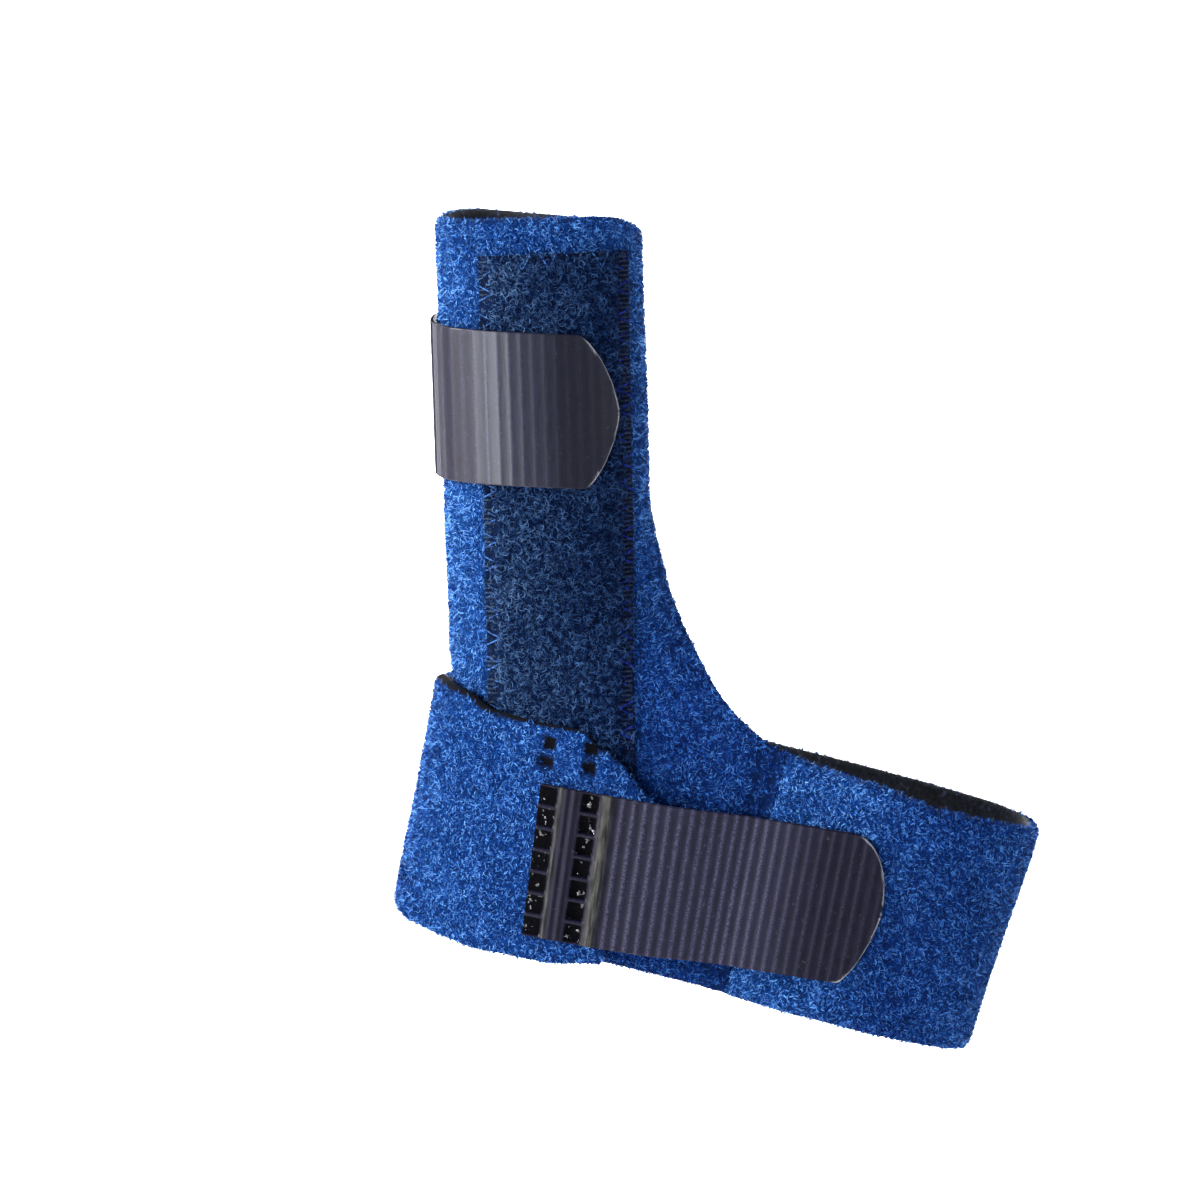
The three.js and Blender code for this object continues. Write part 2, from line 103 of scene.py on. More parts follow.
PALM_STRAP_START, PALM_STRAP_RISE, PALM_STRAP_LENGTH = -28.5, -3.5, 55.7
PALM_STRAP_TURN = math.radians(4.6)
FINGER_STRAP_FROM, FINGER_STRAP_TO = math.radians(300), math.radians(52)
FINGER_STRAP_TIP_HEIGHT, FINGER_STRAP_CLIMB = 74.8, math.tan(math.radians(5))
STEP_DOWN = 17
PALM_TIP = {"upper": 6.8, "lower": 4.9, "upper_squareness": 2, "lower_squareness": 1.45}
FINGER_TIP = {"upper": 6.4, "lower": 6, "upper_squareness": 1.5, "lower_squareness": 1.4}
RIB_PITCH = 1.76
WELD_FIRST, WELD_SECOND, WELD_PITCH, WELD_ROWS = 1.35, 7.7, 3.5, 7
STRIP_LEFT, STRIP_RIGHT, STRIP_LEAN, STRIP_TOP, STRIP_BOTTOM = -35.1, -12, 0.011, 100.4, 9

# Wear and relief of the dressed pieces, in millimetres
PADDING_LUMP = 14.0  # width of the padding's soft lumps
TONE_PATCH = 9.0  # and of the patches where the nap lies lighter or darker
LAP_STEP = 0.3
SEAM_PRESS = {"before_edge": 2.2, "half": 2.0, "soft": 1.6, "depth": 0.25, "wander": 0.7}
SEAM_PITS = {"files": (-1.4, -3.9), "half_length": 0.75, "half_height": 1.1, "depth": 0.35}
FLAP_PIT = {"shift": -1.0, "half": 1.05, "soft": 0.5, "depth": 0.7}
FLAP_PIT_BARE = {"half": 1.35, "soft": 0.4}
PIT_HALF_LENGTH, PIT_HALF_WIDTH, PIT_EDGE, PIT_DEPTH = 1.3, 1.42, 0.3, 0.6
OPEN_PIT_END = 1.5  # the first file's pits run out over the strap's end
WELD_RIDGE = 2.6  # from the second file of pits to the broad ridge
RIBS_AFTER_WELD = 4.9  # and to the first rib
RIB_STEPS = (-0.6, -0.38, -0.18, 0, 0.18, 0.38, 0.6, 0.88)
STRAP_ROUNDING = 0.12

flap_lift = CLOTH + GAP + LOOP_TAPE + GAP
sleeve_half = SLEEVE_WIDTH / 2
sleeve_left, sleeve_right = SLEEVE_X - sleeve_half, SLEEVE_X + sleeve_half
seam_end = SEAM_REACH - GAP / 2

# Rows round the hand: the band's edges as shares of half its width, and how far it is on the flap
BAND = [
    {"turn": 0.011, "top": 1.18, "bottom": -0.94, "lift": 0},
    {"turn": 0.09, "top": 1.1, "bottom": -0.98, "lift": 0},
    {"turn": 0.155, "top": 1.01, "bottom": -1, "lift": 0},
    {"turn": 0.25, "top": 1, "bottom": -1, "lift": 0.32},
    {"turn": 0.35, "top": 1, "bottom": -1, "lift": 0},
    {"turn": 0.62, "top": 1, "bottom": -1, "lift": 0},
    {"turn": 0.75, "top": 0.99, "bottom": -0.965, "lift": 0.2},
    {"turn": 0.772, "top": 1.05, "bottom": -0.985, "lift": 0.55},
    {"turn": 0.797, "top": 1.03, "bottom": -1.02, "lift": 0.97},
    {"turn": 0.822, "top": 0.935, "bottom": -1.05, "lift": 1},
    {"turn": 0.845, "top": 0.935, "bottom": -1.07, "lift": 1},
    {"turn": 0.882, "top": 0.96, "bottom": -1.04, "lift": 1},
    {"turn": 0.899, "top": 0.85, "bottom": -1.03, "lift": 1},
    {"turn": 0.942, "top": 0.54, "bottom": -0.93, "lift": 1},
]
FLAP_SLANT = 3
FLAP_PITS = [
    {"file": WELD_FIRST, "over_strap": 3.3},
    {"file": WELD_FIRST, "over_strap": 6.4},
    {"file": WELD_SECOND, "over_strap": 3.6},
    {"file": WELD_SECOND, "over_strap": 6.6},
]
flap_end = BAND[-1]["turn"]
# The finger strap's height over the cloth, by degrees round the sleeve
STRAP_LIFT = [
    {"angle": 51, "lift": GAP + LOOP_TAPE + GAP},
    {"angle": 133, "lift": GAP + LOOP_TAPE + GAP},
    {"angle": 185, "lift": GAP + 0.2},
    {"angle": 250, "lift": GAP},
    {"angle": 335, "lift": GAP},
]


# Numbers
def mix(a, b, t):
    return a + (b - a) * t


def smooth(t):
    t = np.clip(t, 0, 1)
    return t * t * (3 - 2 * t)


def bump(at, middle, half, soft):
    """1 within half of the middle, falling to 0 over soft."""
    return smooth((half + soft / 2 - np.abs(at - middle)) / soft)


def arch(place, squareness):
    return (1 - np.minimum(1, np.abs(place)) ** squareness) ** (1 / squareness)


def signed_power(value, power):
    return np.sign(value) * np.abs(value) ** power


def unit(vectors):
    return vectors / np.maximum(np.linalg.norm(vectors, axis=-1, keepdims=True), 1e-12)


def read_table(rows, key, column, at):
    keys = np.array([row[key] for row in rows], float)
    values = np.array([row[column] for row in rows], float)
    at = np.asarray(at, float)
    n = np.clip(np.searchsorted(keys, at, side="right") - 1, 0, len(keys) - 2)
    share = (at - keys[n]) / (keys[n + 1] - keys[n])
    return mix(values[n], values[n + 1], smooth(share))


def unevenness(points, size, seed=0.0):
    """A soft random value from about -1 to 1 at each point, with lumps of the given size."""
    flat = points.reshape(-1, 3) / size + seed
    values = [noise.noise(Vector(p)) for p in flat]
    return np.array(values).reshape(points.shape[:-1])


# The hand's surface
def on_hand(along_band, y, across_band):
    c, s = math.cos(LOOP_TILT), math.sin(LOOP_TILT)
    parts = np.broadcast_arrays(along_band * c + across_band * s, y, across_band * c - along_band * s)
    return np.stack(parts, -1)


def along(x, z):
    return x * math.cos(LOOP_TILT) - z * math.sin(LOOP_TILT)


def across(x, z):
    return x * math.sin(LOOP_TILT) + z * math.cos(LOOP_TILT)


def make_outline(steps=2880):
    a = np.linspace(0, 2 * math.pi, steps + 1)
    power = 2 / HAND_SQUARENESS
    x = signed_power(np.sin(a), power)
    y = -HAND_HALF_DEPTH / HAND_HALF_WIDTH * signed_power(np.cos(a), power)
    lengths = np.concatenate([[0], np.cumsum(np.hypot(np.diff(x), np.diff(y)))])
    return x, y, lengths


outline_x, outline_y, outline_lengths = make_outline()
hand_girth = outline_lengths[-1] * HAND_HALF_WIDTH
seam_start = (SEAM_REACH - SEAM_LAP) / hand_girth


def hand_surface(turn, across_band):
    at = (turn % 1) * outline_lengths[-1]
    u = np.interp(at, outline_lengths, outline_x)
    v = np.interp(at, outline_lengths, outline_y)
    return on_hand(u * (HAND_HALF_WIDTH + HAND_FLARE * across_band), v * HAND_HALF_WIDTH, across_band)


def hand_normal(turn, across_band):
    step = 0.003
    aside = hand_surface(turn + step, across_band) - hand_surface(turn - step, across_band)
    up = hand_surface(turn, across_band + 1) - hand_surface(turn, across_band - 1)
    return unit(np.cross(aside, up))


# The sleeve and the palm panel
wrist_corner = on_hand(seam_end, 0, -PANEL_DROP)
seam_top = on_hand(seam_end, 0, PANEL_RISE)
PANEL = [
    {"right": SLEEVE_TOP, "left": SLEEVE_TOP},
    {"right": FLARE_HEIGHT, "left": FLARE_HEIGHT},
    {"right": WEB_HEIGHT, "left": WRAP_CUT},
    {"right": seam_top[2], "left": PALM_HEIGHT + BAND_TUCK},
    {
        "right": wrist_corner[2],
        "left": wrist_corner[2] + (wrist_corner[0] - PANEL_LEFT) * math.tan(LOOP_TILT),
    },
]


def cut_edge(z):
    fall = np.clip((FLARE_HEIGHT - z) / (FLARE_HEIGHT - seam_top[2]), 0, 1)
    return mix(sleeve_right, seam_top[0], 1 - (1 - fall**SWEEP_START) ** SWEEP_END)


def left_edge(z):
    return mix(PANEL_LEFT, sleeve_left, smooth((z - PALM_HEIGHT + DRAW_IN_BELOW) / DRAW_IN_LENGTH))


def palm_front(x, z):
    reach = HAND_HALF_WIDTH + CLOTH + HAND_FLARE * across(x, z)
    return -(HAND_HALF_DEPTH + CLOTH) * arch(along(x, z) / reach, HAND_SQUARENESS)


def palm_share(x, z):
    height = z - np.where(x < sleeve_right, (x - sleeve_right) * PALM_SLANT, 0)
    return smooth((WEB_HEIGHT + BEND - height) / (WEB_HEIGHT + BEND - PALM_HEIGHT))


def sleeve_front(x, z):
    left, right = left_edge(z), cut_edge(z)
    place = (x - (left + right) / 2) / ((right - left) / 2)
    depth = SLEEVE_FRONT * (1 - SLEEVE_PINCH * place) * arch(place, SLEEVE_SQUARENESS)
    return mix(SLEEVE_MIDDLE - depth, palm_front(x, z), palm_share(x, z))


def front_point(x, z, lift):
    step = 0.2
    slope_x = (sleeve_front(x + step, z) - sleeve_front(x - step, z)) / (2 * step)
    slope_z = (sleeve_front(x, z + step) - sleeve_front(x, z - step)) / (2 * step)
    normal = unit(np.stack([slope_x, -np.ones_like(slope_x), slope_z], -1))
    point = np.stack(np.broadcast_arrays(x, sleeve_front(x, z), z), -1)
    return point + normal * np.asarray(lift)[..., None], normal


# Meshes
def link(mesh, name, *materials):
    piece = bpy.data.objects.new(name, mesh)
    bpy.context.scene.collection.objects.link(piece)
    for material in materials:
        mesh.materials.append(material)
    return piece


def add_float(mesh, name, values):
    layer = mesh.attributes.new(name, "FLOAT", "POINT")
    layer.data.foreach_set("value", np.asarray(values, np.float32))


def mesh_from(name, points, quads, material_index, uv, attributes):
    """A smooth mesh in metres from points in millimetres, with its unused points left out."""
    used, where = np.unique(quads, return_inverse=True)
    quads = where.reshape(quads.shape)
    mesh = bpy.data.meshes.new(name)
    mesh.vertices.add(len(used))
    mesh.vertices.foreach_set("co", (points[used] * MM).astype(np.float32).ravel())
    mesh.loops.add(quads.size)
    mesh.loops.foreach_set("vertex_index", quads.ravel().astype(np.int32))
    mesh.polygons.add(len(quads))
    mesh.polygons.foreach_set("loop_start", np.arange(0, quads.size, 4, dtype=np.int32))
    mesh.polygons.foreach_set("material_index", material_index.astype(np.int32))
    mesh.update(calc_edges=True)
    mesh.uv_layers.new(name="cloth").data.foreach_set(
        "uv", (uv.reshape(-1, 2) / 100).astype(np.float32).ravel()
    )
    mesh.polygons.foreach_set("use_smooth", np.ones(len(quads), bool))
    for key, values in attributes.items():
        add_float(mesh, key, values[used])
    mesh.validate()
    return mesh


def steps_between(first, last, count, fine="both"):
    """Even steps that get finer towards the first, the last or both ends."""
    t = np.linspace(0, 1, count + 1)
    if fine == "first":
        t = t**1.5
    elif fine == "last":
        t = 1 - (1 - t) ** 1.5
    elif fine == "both":
        t = mix(t, (1 - np.cos(math.pi * t)) / 2, 0.9)
    return mix(first, last, t)


class Sheet:
    """A grid of places on a surface that becomes one closed piece of cloth or tape. low and high are
    its two faces' heights on the surface's normals; the cut edges are rounded."""

    def __init__(self, base, normal, low, high, cells=None, closed=False, rounding=CLOTH / 2, flip=False):
        self.base, self.normal = base, normal
        self.low = np.broadcast_to(low, base.shape[:2]).astype(float)
        self.high = np.broadcast_to(high, base.shape[:2]).astype(float)
        rows, columns = base.shape[:2]
        last = columns if closed else columns - 1
        i, j = np.meshgrid(np.arange(rows - 1), np.arange(last), indexing="ij")
        keep = np.ones_like(i, bool) if cells is None else cells(i, j)
        i, j = i[keep], j[keep]
        after = (j + 1) % columns
        self.quads = np.stack(
            [i * columns + j, (i + 1) * columns + j, (i + 1) * columns + after, i * columns + after], 1
        )
        self.flip = flip
        if flip:
            self.quads = self.quads[:, ::-1]
        self.cell = (i, j)
        self.size = rows * columns
        self.free = self.free_points()
        self.to_edge = self.edge_distance()
        round_off = 1 - np.clip(self.to_edge / rounding, 0, 1)
        self.fullness = np.sqrt(np.maximum(0, 1 - round_off**2))

    def free_points(self):
        pairs = np.concatenate([self.quads[:, [n, (n + 1) % 4]] for n in range(4)])
        edges, counts = np.unique(np.sort(pairs, 1), axis=0, return_counts=True)
        free = np.zeros(self.size, bool)
        free[edges[counts == 1].ravel()] = True
        return free

    def edge_distance(self):
        flat = self.base.reshape(-1, 3)
        places = flat[self.free]
        tree = kdtree.KDTree(len(places))
        for n, place in enumerate(places):
            tree.insert(place, n)
        tree.balance()
        distance = np.array([tree.find(place)[2] for place in flat])
        return distance.reshape(self.base.shape[:2])

    def faces(self):
        middle, half = (self.low + self.high) / 2, (self.high - self.low) / 2 * self.fullness
        outer = self.base + self.normal * (middle + half)[..., None]
        inner = self.base + self.normal * (middle - half)[..., None]
        return outer.reshape(-1, 3), inner.reshape(-1, 3)

    def lengths(self):
        """Lengths along the rows and down the columns, for the UV map."""
        rows, columns = self.base.shape[:2]
        ahead = np.linalg.norm(np.roll(self.base, -1, 1) - self.base, axis=-1)
        u = np.concatenate([np.zeros((rows, 1)), np.cumsum(ahead, 1)], 1)
        down = np.linalg.norm(np.diff(self.base, axis=0), axis=-1)
        v = np.concatenate([np.zeros((1, columns)), np.cumsum(down, 0)], 0)
        return u, np.concatenate([v, v[:, :1]], 1)

    def mesh(self, name, **attributes):
        outer, inner = self.faces()
        mirror = np.where(self.free, np.arange(self.size), np.arange(self.size) + self.size)
        inside = mirror[self.quads][:, ::-1]
        u, v = self.lengths()
        i, j = self.cell
        corners = [(i, j), (i + 1, j), (i + 1, j + 1), (i, j + 1)]
        uv = np.stack([np.stack([u[a, b], v[a, b]], -1) for a, b in corners], 1)
        if self.flip:
            uv = uv[:, ::-1]
        quads = np.concatenate([self.quads, inside])
        index = np.repeat([0, 1], len(self.quads))
        both = {key: np.concatenate([values.ravel(), values.ravel()]) for key, values in attributes.items()}
        outer_only = np.concatenate([np.ones(self.size), np.zeros(self.size)])
        both["nap"] = both.get("nap", outer_only) * outer_only
        return mesh_from(
            name, np.concatenate([outer, inner]), quads, index, np.concatenate([uv, uv[:, ::-1]]), both
        )


def tube_normals(points, tube_rows, front):
    """Outward normals of the sleeve's grid, which is closed down to tube_rows and open below."""
    before, after = np.roll(points, 1, 1), np.roll(points, -1, 1)
    before[tube_rows + 1:, 0] = points[tube_rows + 1:, 0]
    after[tube_rows + 1:, front] = points[tube_rows + 1:, front]
    above = np.concatenate([points[:1], points[:-1]])
    below = np.concatenate([points[1:], points[-1:]])
    below[tube_rows, front + 1:] = points[tube_rows, front + 1:]
    return unit(np.cross(above - below, after - before))


def panel_sheet():
    front, back = 116, 76
    angles = np.concatenate(
        [np.linspace(0, math.pi, front + 1), math.pi + np.linspace(0, math.pi, back + 1)[1:-1]]
    )
    spans = [(46, "first"), (34, "last"), (46, "even"), (62, "last")]
    place = [np.array([0.0])]
    for n, (count, fine) in enumerate(spans):
        place.append(steps_between(n, n + 1, count, fine)[1:])
    place = np.concatenate(place)
    span = np.minimum(3, np.floor(place - 1e-9)).clip(0).astype(int)
    share = place - span
    heights = {side: np.array([row[side] for row in PANEL]) for side in ("right", "left")}
    right_height, left_height = (
        mix(heights[s][span], heights[s][span + 1], share)[:, None] for s in ("right", "left")
    )
    right = np.where(
        span[:, None] == 3, mix(seam_top[0], wrist_corner[0], share[:, None]), cut_edge(right_height)
    )
    left = left_edge(left_height)
    mouth = np.where(span == 0, 1 - share, 0)[:, None]
    c, s = np.cos(angles)[None], np.abs(np.sin(angles))[None]
    power = 2 / SLEEVE_SQUARENESS
    place_x = signed_power(c, power)
    to_left = (1 - place_x) / 2
    is_front = angles[None] <= math.pi + 1e-6
    lip = np.where(is_front, 0, MOUTH_TILT * c * s**power)
    dip = mouth**4 * (MOUTH_ROUND * ((1 + c) / 2) ** 14 + lip)
    x = mix(right, left, to_left)
    z = mix(right_height, left_height, to_left) - dip
    ends = mix(sleeve_front(right, right_height), sleeve_front(left, left_height), to_left)
    y = np.where(is_front, sleeve_front(x, z), ends + SLEEVE_BACK * (1 - SLEEVE_PINCH * place_x) * s**power)
    points = np.stack(np.broadcast_arrays(x, y, z), -1)
    tube_rows = spans[0][0] + spans[1][0]
    normal = tube_normals(points, tube_rows, front)
    return Sheet(
        points, normal, -CLOTH, 0, lambda i, j: (i < tube_rows) | (j < front), closed=True, flip=True
    )


def band_sheet():
    turns = np.concatenate([
        steps_between(seam_start, 0.06, 24, "first"),
        np.linspace(0.06, 0.86, 190)[1:],
        np.linspace(0.86, 0.93, 60)[1:],
        steps_between(0.93, flap_end, 12, "last")[1:],
    ])
    rows = steps_between(0, 1, 58)[:, None]
    turn = turns[None]
    top = read_table(BAND, "turn", "top", turn) * BAND_WIDTH / 2
    bottom = read_table(BAND, "turn", "bottom", turn) * BAND_WIDTH / 2
    lift = read_table(BAND, "turn", "lift", turn) * flap_lift
    place = mix(bottom, top, rows)
    share = (turn - seam_start) / (flap_end - seam_start)
    slant = FLAP_SLANT * (top - place) / BAND_WIDTH / hand_girth
    ragged = 0.7 * unevenness(np.stack(np.broadcast_arrays(place, 0, 0), -1), 2.6, 8.0) / hand_girth
    turn = turn - slant * smooth((share - 0.8) / 0.2) + ragged * smooth((0.02 - turn) / 0.014)
    base, normal = hand_surface(turn, place), hand_normal(turn, place)
    reach = along(base[..., 0], base[..., 2])
    on_tongue = (reach < SEAM_REACH + GAP / 2) & (turn < 0.1)
    high = np.where(on_tongue, (CLOTH - GAP) / 2, CLOTH) + lift
    return Sheet(base, normal, lift * np.ones_like(place), high, flip=True), turn, place


# Straps
def palm_strap_place(length, side):
    a = PALM_STRAP_START + length * math.cos(PALM_STRAP_TURN) - side * math.sin(PALM_STRAP_TURN)
    c = PALM_STRAP_RISE + length * math.sin(PALM_STRAP_TURN) + side * math.cos(PALM_STRAP_TURN)
    return a, c


def palm_strap_surface(length, side):
    a, c = palm_strap_place(length, side)
    flap_reach = (flap_end - 1) * hand_girth
    lift = mix(flap_lift + CLOTH + GAP, CLOTH + GAP, smooth((a - flap_reach - 0.4) / STEP_DOWN))
    turn = a / hand_girth
    return hand_surface(turn, c) + hand_normal(turn, c) * lift[..., None]


def sleeve_outline(angle, lift):
    def at(a):
        power = 2 / SLEEVE_SQUARENESS
        place = signed_power(np.cos(a), power)
        depth = np.where(np.sin(a) > 0, -SLEEVE_FRONT, SLEEVE_BACK) * np.abs(np.sin(a)) ** power
        return np.stack(
            [SLEEVE_X + sleeve_half * place, SLEEVE_MIDDLE + depth * (1 - SLEEVE_PINCH * place)], -1
        )

    tangent = unit(at(angle + 0.01) - at(angle - 0.01))
    return at(angle) + np.stack([-tangent[..., 1], tangent[..., 0]], -1) * np.asarray(lift)[..., None]


wrap_angles = np.linspace(FINGER_STRAP_FROM, FINGER_STRAP_TO, 1601)
wrap_steps = np.linalg.norm(np.diff(sleeve_outline(wrap_angles, np.ones(1601)), axis=0), axis=-1)
wrap_lengths = np.concatenate([[0], np.cumsum(wrap_steps)])
finger_strap_length = wrap_lengths[-1]


def finger_strap_surface(length, side):
    angle = np.interp(length, wrap_lengths, wrap_angles)
    lift = read_table(STRAP_LIFT, "angle", "lift", np.degrees(angle))
    xy = sleeve_outline(angle, lift)
    z = FINGER_STRAP_TIP_HEIGHT + (finger_strap_length - length) * FINGER_STRAP_CLIMB + side
    return np.concatenate([xy, z[..., None]], -1)


def under_finger_strap(points):
    """1 where the finger strap lies over the sleeve."""
    place = np.clip((points[..., 0] - SLEEVE_X) / sleeve_half, -1, 1)
    angle = np.arccos(signed_power(place, SLEEVE_SQUARENESS / 2))
    angle = np.where(points[..., 1] > SLEEVE_MIDDLE, 2 * math.pi - angle, angle)
    length = np.interp(angle, wrap_angles[::-1], wrap_lengths[::-1])
    side = points[..., 2] - FINGER_STRAP_TIP_HEIGHT - (finger_strap_length - length) * FINGER_STRAP_CLIMB
    half = tip_half(length, finger_strap_length, FINGER_TIP, side)
    inside = smooth((half - 0.6 - np.abs(side)) / 0.5) * smooth((finger_strap_length - 0.6 - length) / 0.5)
    return inside * (angle < FINGER_STRAP_FROM)


def under_flap(points):
    """1 on the panel where the band's end lies over it."""
    reach = along(points[..., 0], points[..., 2])
    height = across(points[..., 0], points[..., 2])
    return smooth((-14 - reach) / 1.0) * smooth((9 - height) / 1.0)


def weld_relief(length, side):
    """Height over the tape and the marks of the weld: square pits in two files, with ridges between."""
    pits = np.zeros_like(length)
    hollow = np.zeros_like(length)
    for file in (WELD_FIRST, WELD_SECOND):
        for row in range(WELD_ROWS):
            middle = (row - (WELD_ROWS - 1) / 2) * WELD_PITCH
            along_pit = bump(length, file, PIT_HALF_LENGTH, PIT_EDGE)
            if file == WELD_FIRST:
                along_pit = smooth((file + OPEN_PIT_END - length) / PIT_EDGE)
            pit = along_pit * bump(side, middle, PIT_HALF_WIDTH, PIT_EDGE)
            slope = 0.12 * (side - middle) + 0.1 * (length - file) + 0.1 * math.sin(row * 2.4 + file)
            pits = np.maximum(pits, pit)
            hollow = hollow + pit * slope
    rim = bump(length, WELD_FIRST + 1.85, 0.22, 0.5)
    hump = bump(length, WELD_FIRST + 2.7, 0.3, 0.7) + bump(length, WELD_FIRST + 3.9, 0.3, 0.7)
    ridge = bump(length, WELD_SECOND + WELD_RIDGE, 0.8, 1.1)
    wobble = 1 + 0.3 * np.sin(side * 1.9 + 0.7) * np.sin(side * 0.83)
    height = 0.22 * rim * wobble + 0.28 * hump + 0.55 * ridge * wobble - PIT_DEPTH * pits + hollow
    return height, pits, np.maximum(rim * wobble, ridge).clip(0, 1)


def tip_half(length, total, tip, side):
    """Half the strap's width near its rounded end."""
    upper = arch(np.maximum(0, length - total + tip["upper"]) / tip["upper"], tip["upper_squareness"])
    lower = arch(np.maximum(0, length - total + tip["lower"]) / tip["lower"], tip["lower_squareness"])
    return TAPE_WIDTH / 2 * np.where(side > 0, upper, lower)


def strap_sheet(surface, total, tip, rib_height, rib_width, light_from, dark_end, dark_run):
    ribs_from = WELD_SECOND + RIBS_AFTER_WELD
    weld = np.linspace(0, ribs_from - 1, 64)
    count = int((total - 2.2 - ribs_from) / RIB_PITCH)
    ribs = (ribs_from + np.arange(count)[:, None] * RIB_PITCH + np.array(RIB_STEPS)[None]).ravel()
    round_end = total - tip["upper"] * (1 - np.sin(np.linspace(0.1, math.pi / 2, 22)))
    length = np.unique(np.round(np.concatenate([weld, ribs, round_end]), 3))
    length = length[np.concatenate([[True], np.diff(length) > 0.03])]
    length[-1] = total
    length = length[None]
    places = []
    for row in range(WELD_ROWS):
        middle = (row - (WELD_ROWS - 1) / 2) * WELD_PITCH
        places += [middle + d for d in (-1.75, -1.57, -1.42, -1.27, -0.6, 0.6, 1.27, 1.42, 1.57)]
    edge = TAPE_WIDTH / 2
    share = np.array([-edge, -edge + 0.03, -edge + 0.09, *places, edge - 0.09, edge - 0.03, edge])
    share = np.unique(np.clip(share, -edge, edge))[:, None] / edge
    side = share * tip_half(length, total, tip, share)
    length = np.broadcast_to(length, side.shape)
    base = surface(length, side)
    ahead = surface(length + 0.2, side) - surface(length - 0.2, side)
    up = surface(length, side + 0.5) - surface(length, side - 0.5)
    normal = unit(np.cross(ahead, up))
    height, pits, rims = weld_relief(length, side)
    ribbed = smooth((length - ribs_from + 0.9) / 0.6) * smooth((total - 0.4 - length) / 0.4)
    from_rib = (((length - ribs_from) / RIB_PITCH + 0.5) % 1 - 0.5) * RIB_PITCH
    rib = np.exp(-(from_rib / rib_width) ** 2) * ribbed
    high = HOOK_TAPE + height + rib_height * rib
    sheet = Sheet(base, normal, 0, high, rounding=STRAP_ROUNDING, flip=True)
    at_tip = smooth((length - total + 6) / 1.5) * smooth((0.32 - sheet.to_edge) / 0.12)
    # Painted shade: the tape is darker before light_from and towards its tip, where it turns from the light,
    # and the ribs' pale lines fade there too.
    rib_with_painted_shade = rib * (1 - 0.6 * smooth((length - total + 24) / 12))
    wear_and_painted_light = smooth((length - light_from) / 8)
    dark = smooth((length - total + dark_end) / dark_run)
    tone = 1 - 0.42 * dark - 0.25 * (1 - wear_and_painted_light)
    return sheet, {"weld": pits, "rim": rims, "rib": rib_with_painted_shade, "tip": at_tip, "tone": tone}


def strip_sheet():
    columns = steps_between(0, 1, 60)[None]
    z = steps_between(STRIP_TOP, STRIP_BOTTOM, 170)[:, None]
    x = mix(STRIP_LEFT, STRIP_RIGHT, columns) + STRIP_LEAN * (z - PALM_HEIGHT)
    base, normal = front_point(x, np.broadcast_to(z, x.shape), np.zeros(x.shape))
    width = STRIP_RIGHT - STRIP_LEFT
    from_side = np.minimum(columns, 1 - columns) * width * np.ones_like(z)
    pile = smooth((from_side - 1.6) / 1.2) * smooth((STRIP_TOP - z - 0.2) / 1.0)
    top = GAP + 0.5 + (LOOP_TAPE - 0.5) * pile
    top = top + 0.12 * unevenness(base, 1.3) * pile
    sheet = Sheet(base, normal, GAP, top, rounding=0.3)
    return sheet, pile


# Node helpers
def node(tree, kind, inputs=None, **settings):
    made = tree.nodes.new(kind)
    for key, value in settings.items():
        setattr(made, key, value)
    for key, value in (inputs or {}).items():
        socket = made.inputs[key]
        if isinstance(value, bpy.types.NodeSocket):
            tree.links.new(value, socket)
        else:
            socket.default_value = value
    return made


def math_node(tree, operation, *values):
    return node(tree, "ShaderNodeMath", dict(enumerate(values)), operation=operation).outputs[0]


def times(tree, a, b):
    return math_node(tree, "MULTIPLY", a, b)


def plus(tree, a, b):
    return math_node(tree, "ADD", a, b)


def minus(tree, a, b):
    return math_node(tree, "SUBTRACT", a, b)


def cloud(tree, vector, scale, detail, distortion=0.0):
    """Soft noise between 0 and 1."""
    inputs = {"Vector": vector, "Scale": scale, "Detail": detail, "Distortion": distortion}
    return node(tree, "ShaderNodeTexNoise", inputs).outputs["Fac"]


def colour_mix(tree, factor, a, b, blend="MIX"):
    made = node(tree, "ShaderNodeMix", data_type="RGBA", blend_type=blend)
    for socket, value in ((made.inputs[0], factor), (made.inputs[6], a), (made.inputs[7], b)):
        if isinstance(value, bpy.types.NodeSocket):
            tree.links.new(value, socket)
        else:
            socket.default_value = value
    return made.outputs[2]


def ramp(tree, value, low, high):
    made = node(tree, "ShaderNodeMapRange", {"Value": value, "From Min": low, "From Max": high})
    made.interpolation_type = "SMOOTHSTEP"
    return made.outputs[0]


def new_group(name, inputs, outputs):
    tree = bpy.data.node_groups.new(name, "ShaderNodeTree")
    kinds = {"c": "NodeSocketColor", "f": "NodeSocketFloat", "v": "NodeSocketVector"}
    for label, kind, default in inputs:
        socket = tree.interface.new_socket(label, in_out="INPUT", socket_type=kinds[kind])
        if default is not None:
            socket.default_value = default
    for label, kind in outputs:
        tree.interface.new_socket(label, in_out="OUTPUT", socket_type=kinds[kind])
    return tree, tree.nodes.new("NodeGroupInput"), tree.nodes.new("NodeGroupOutput")


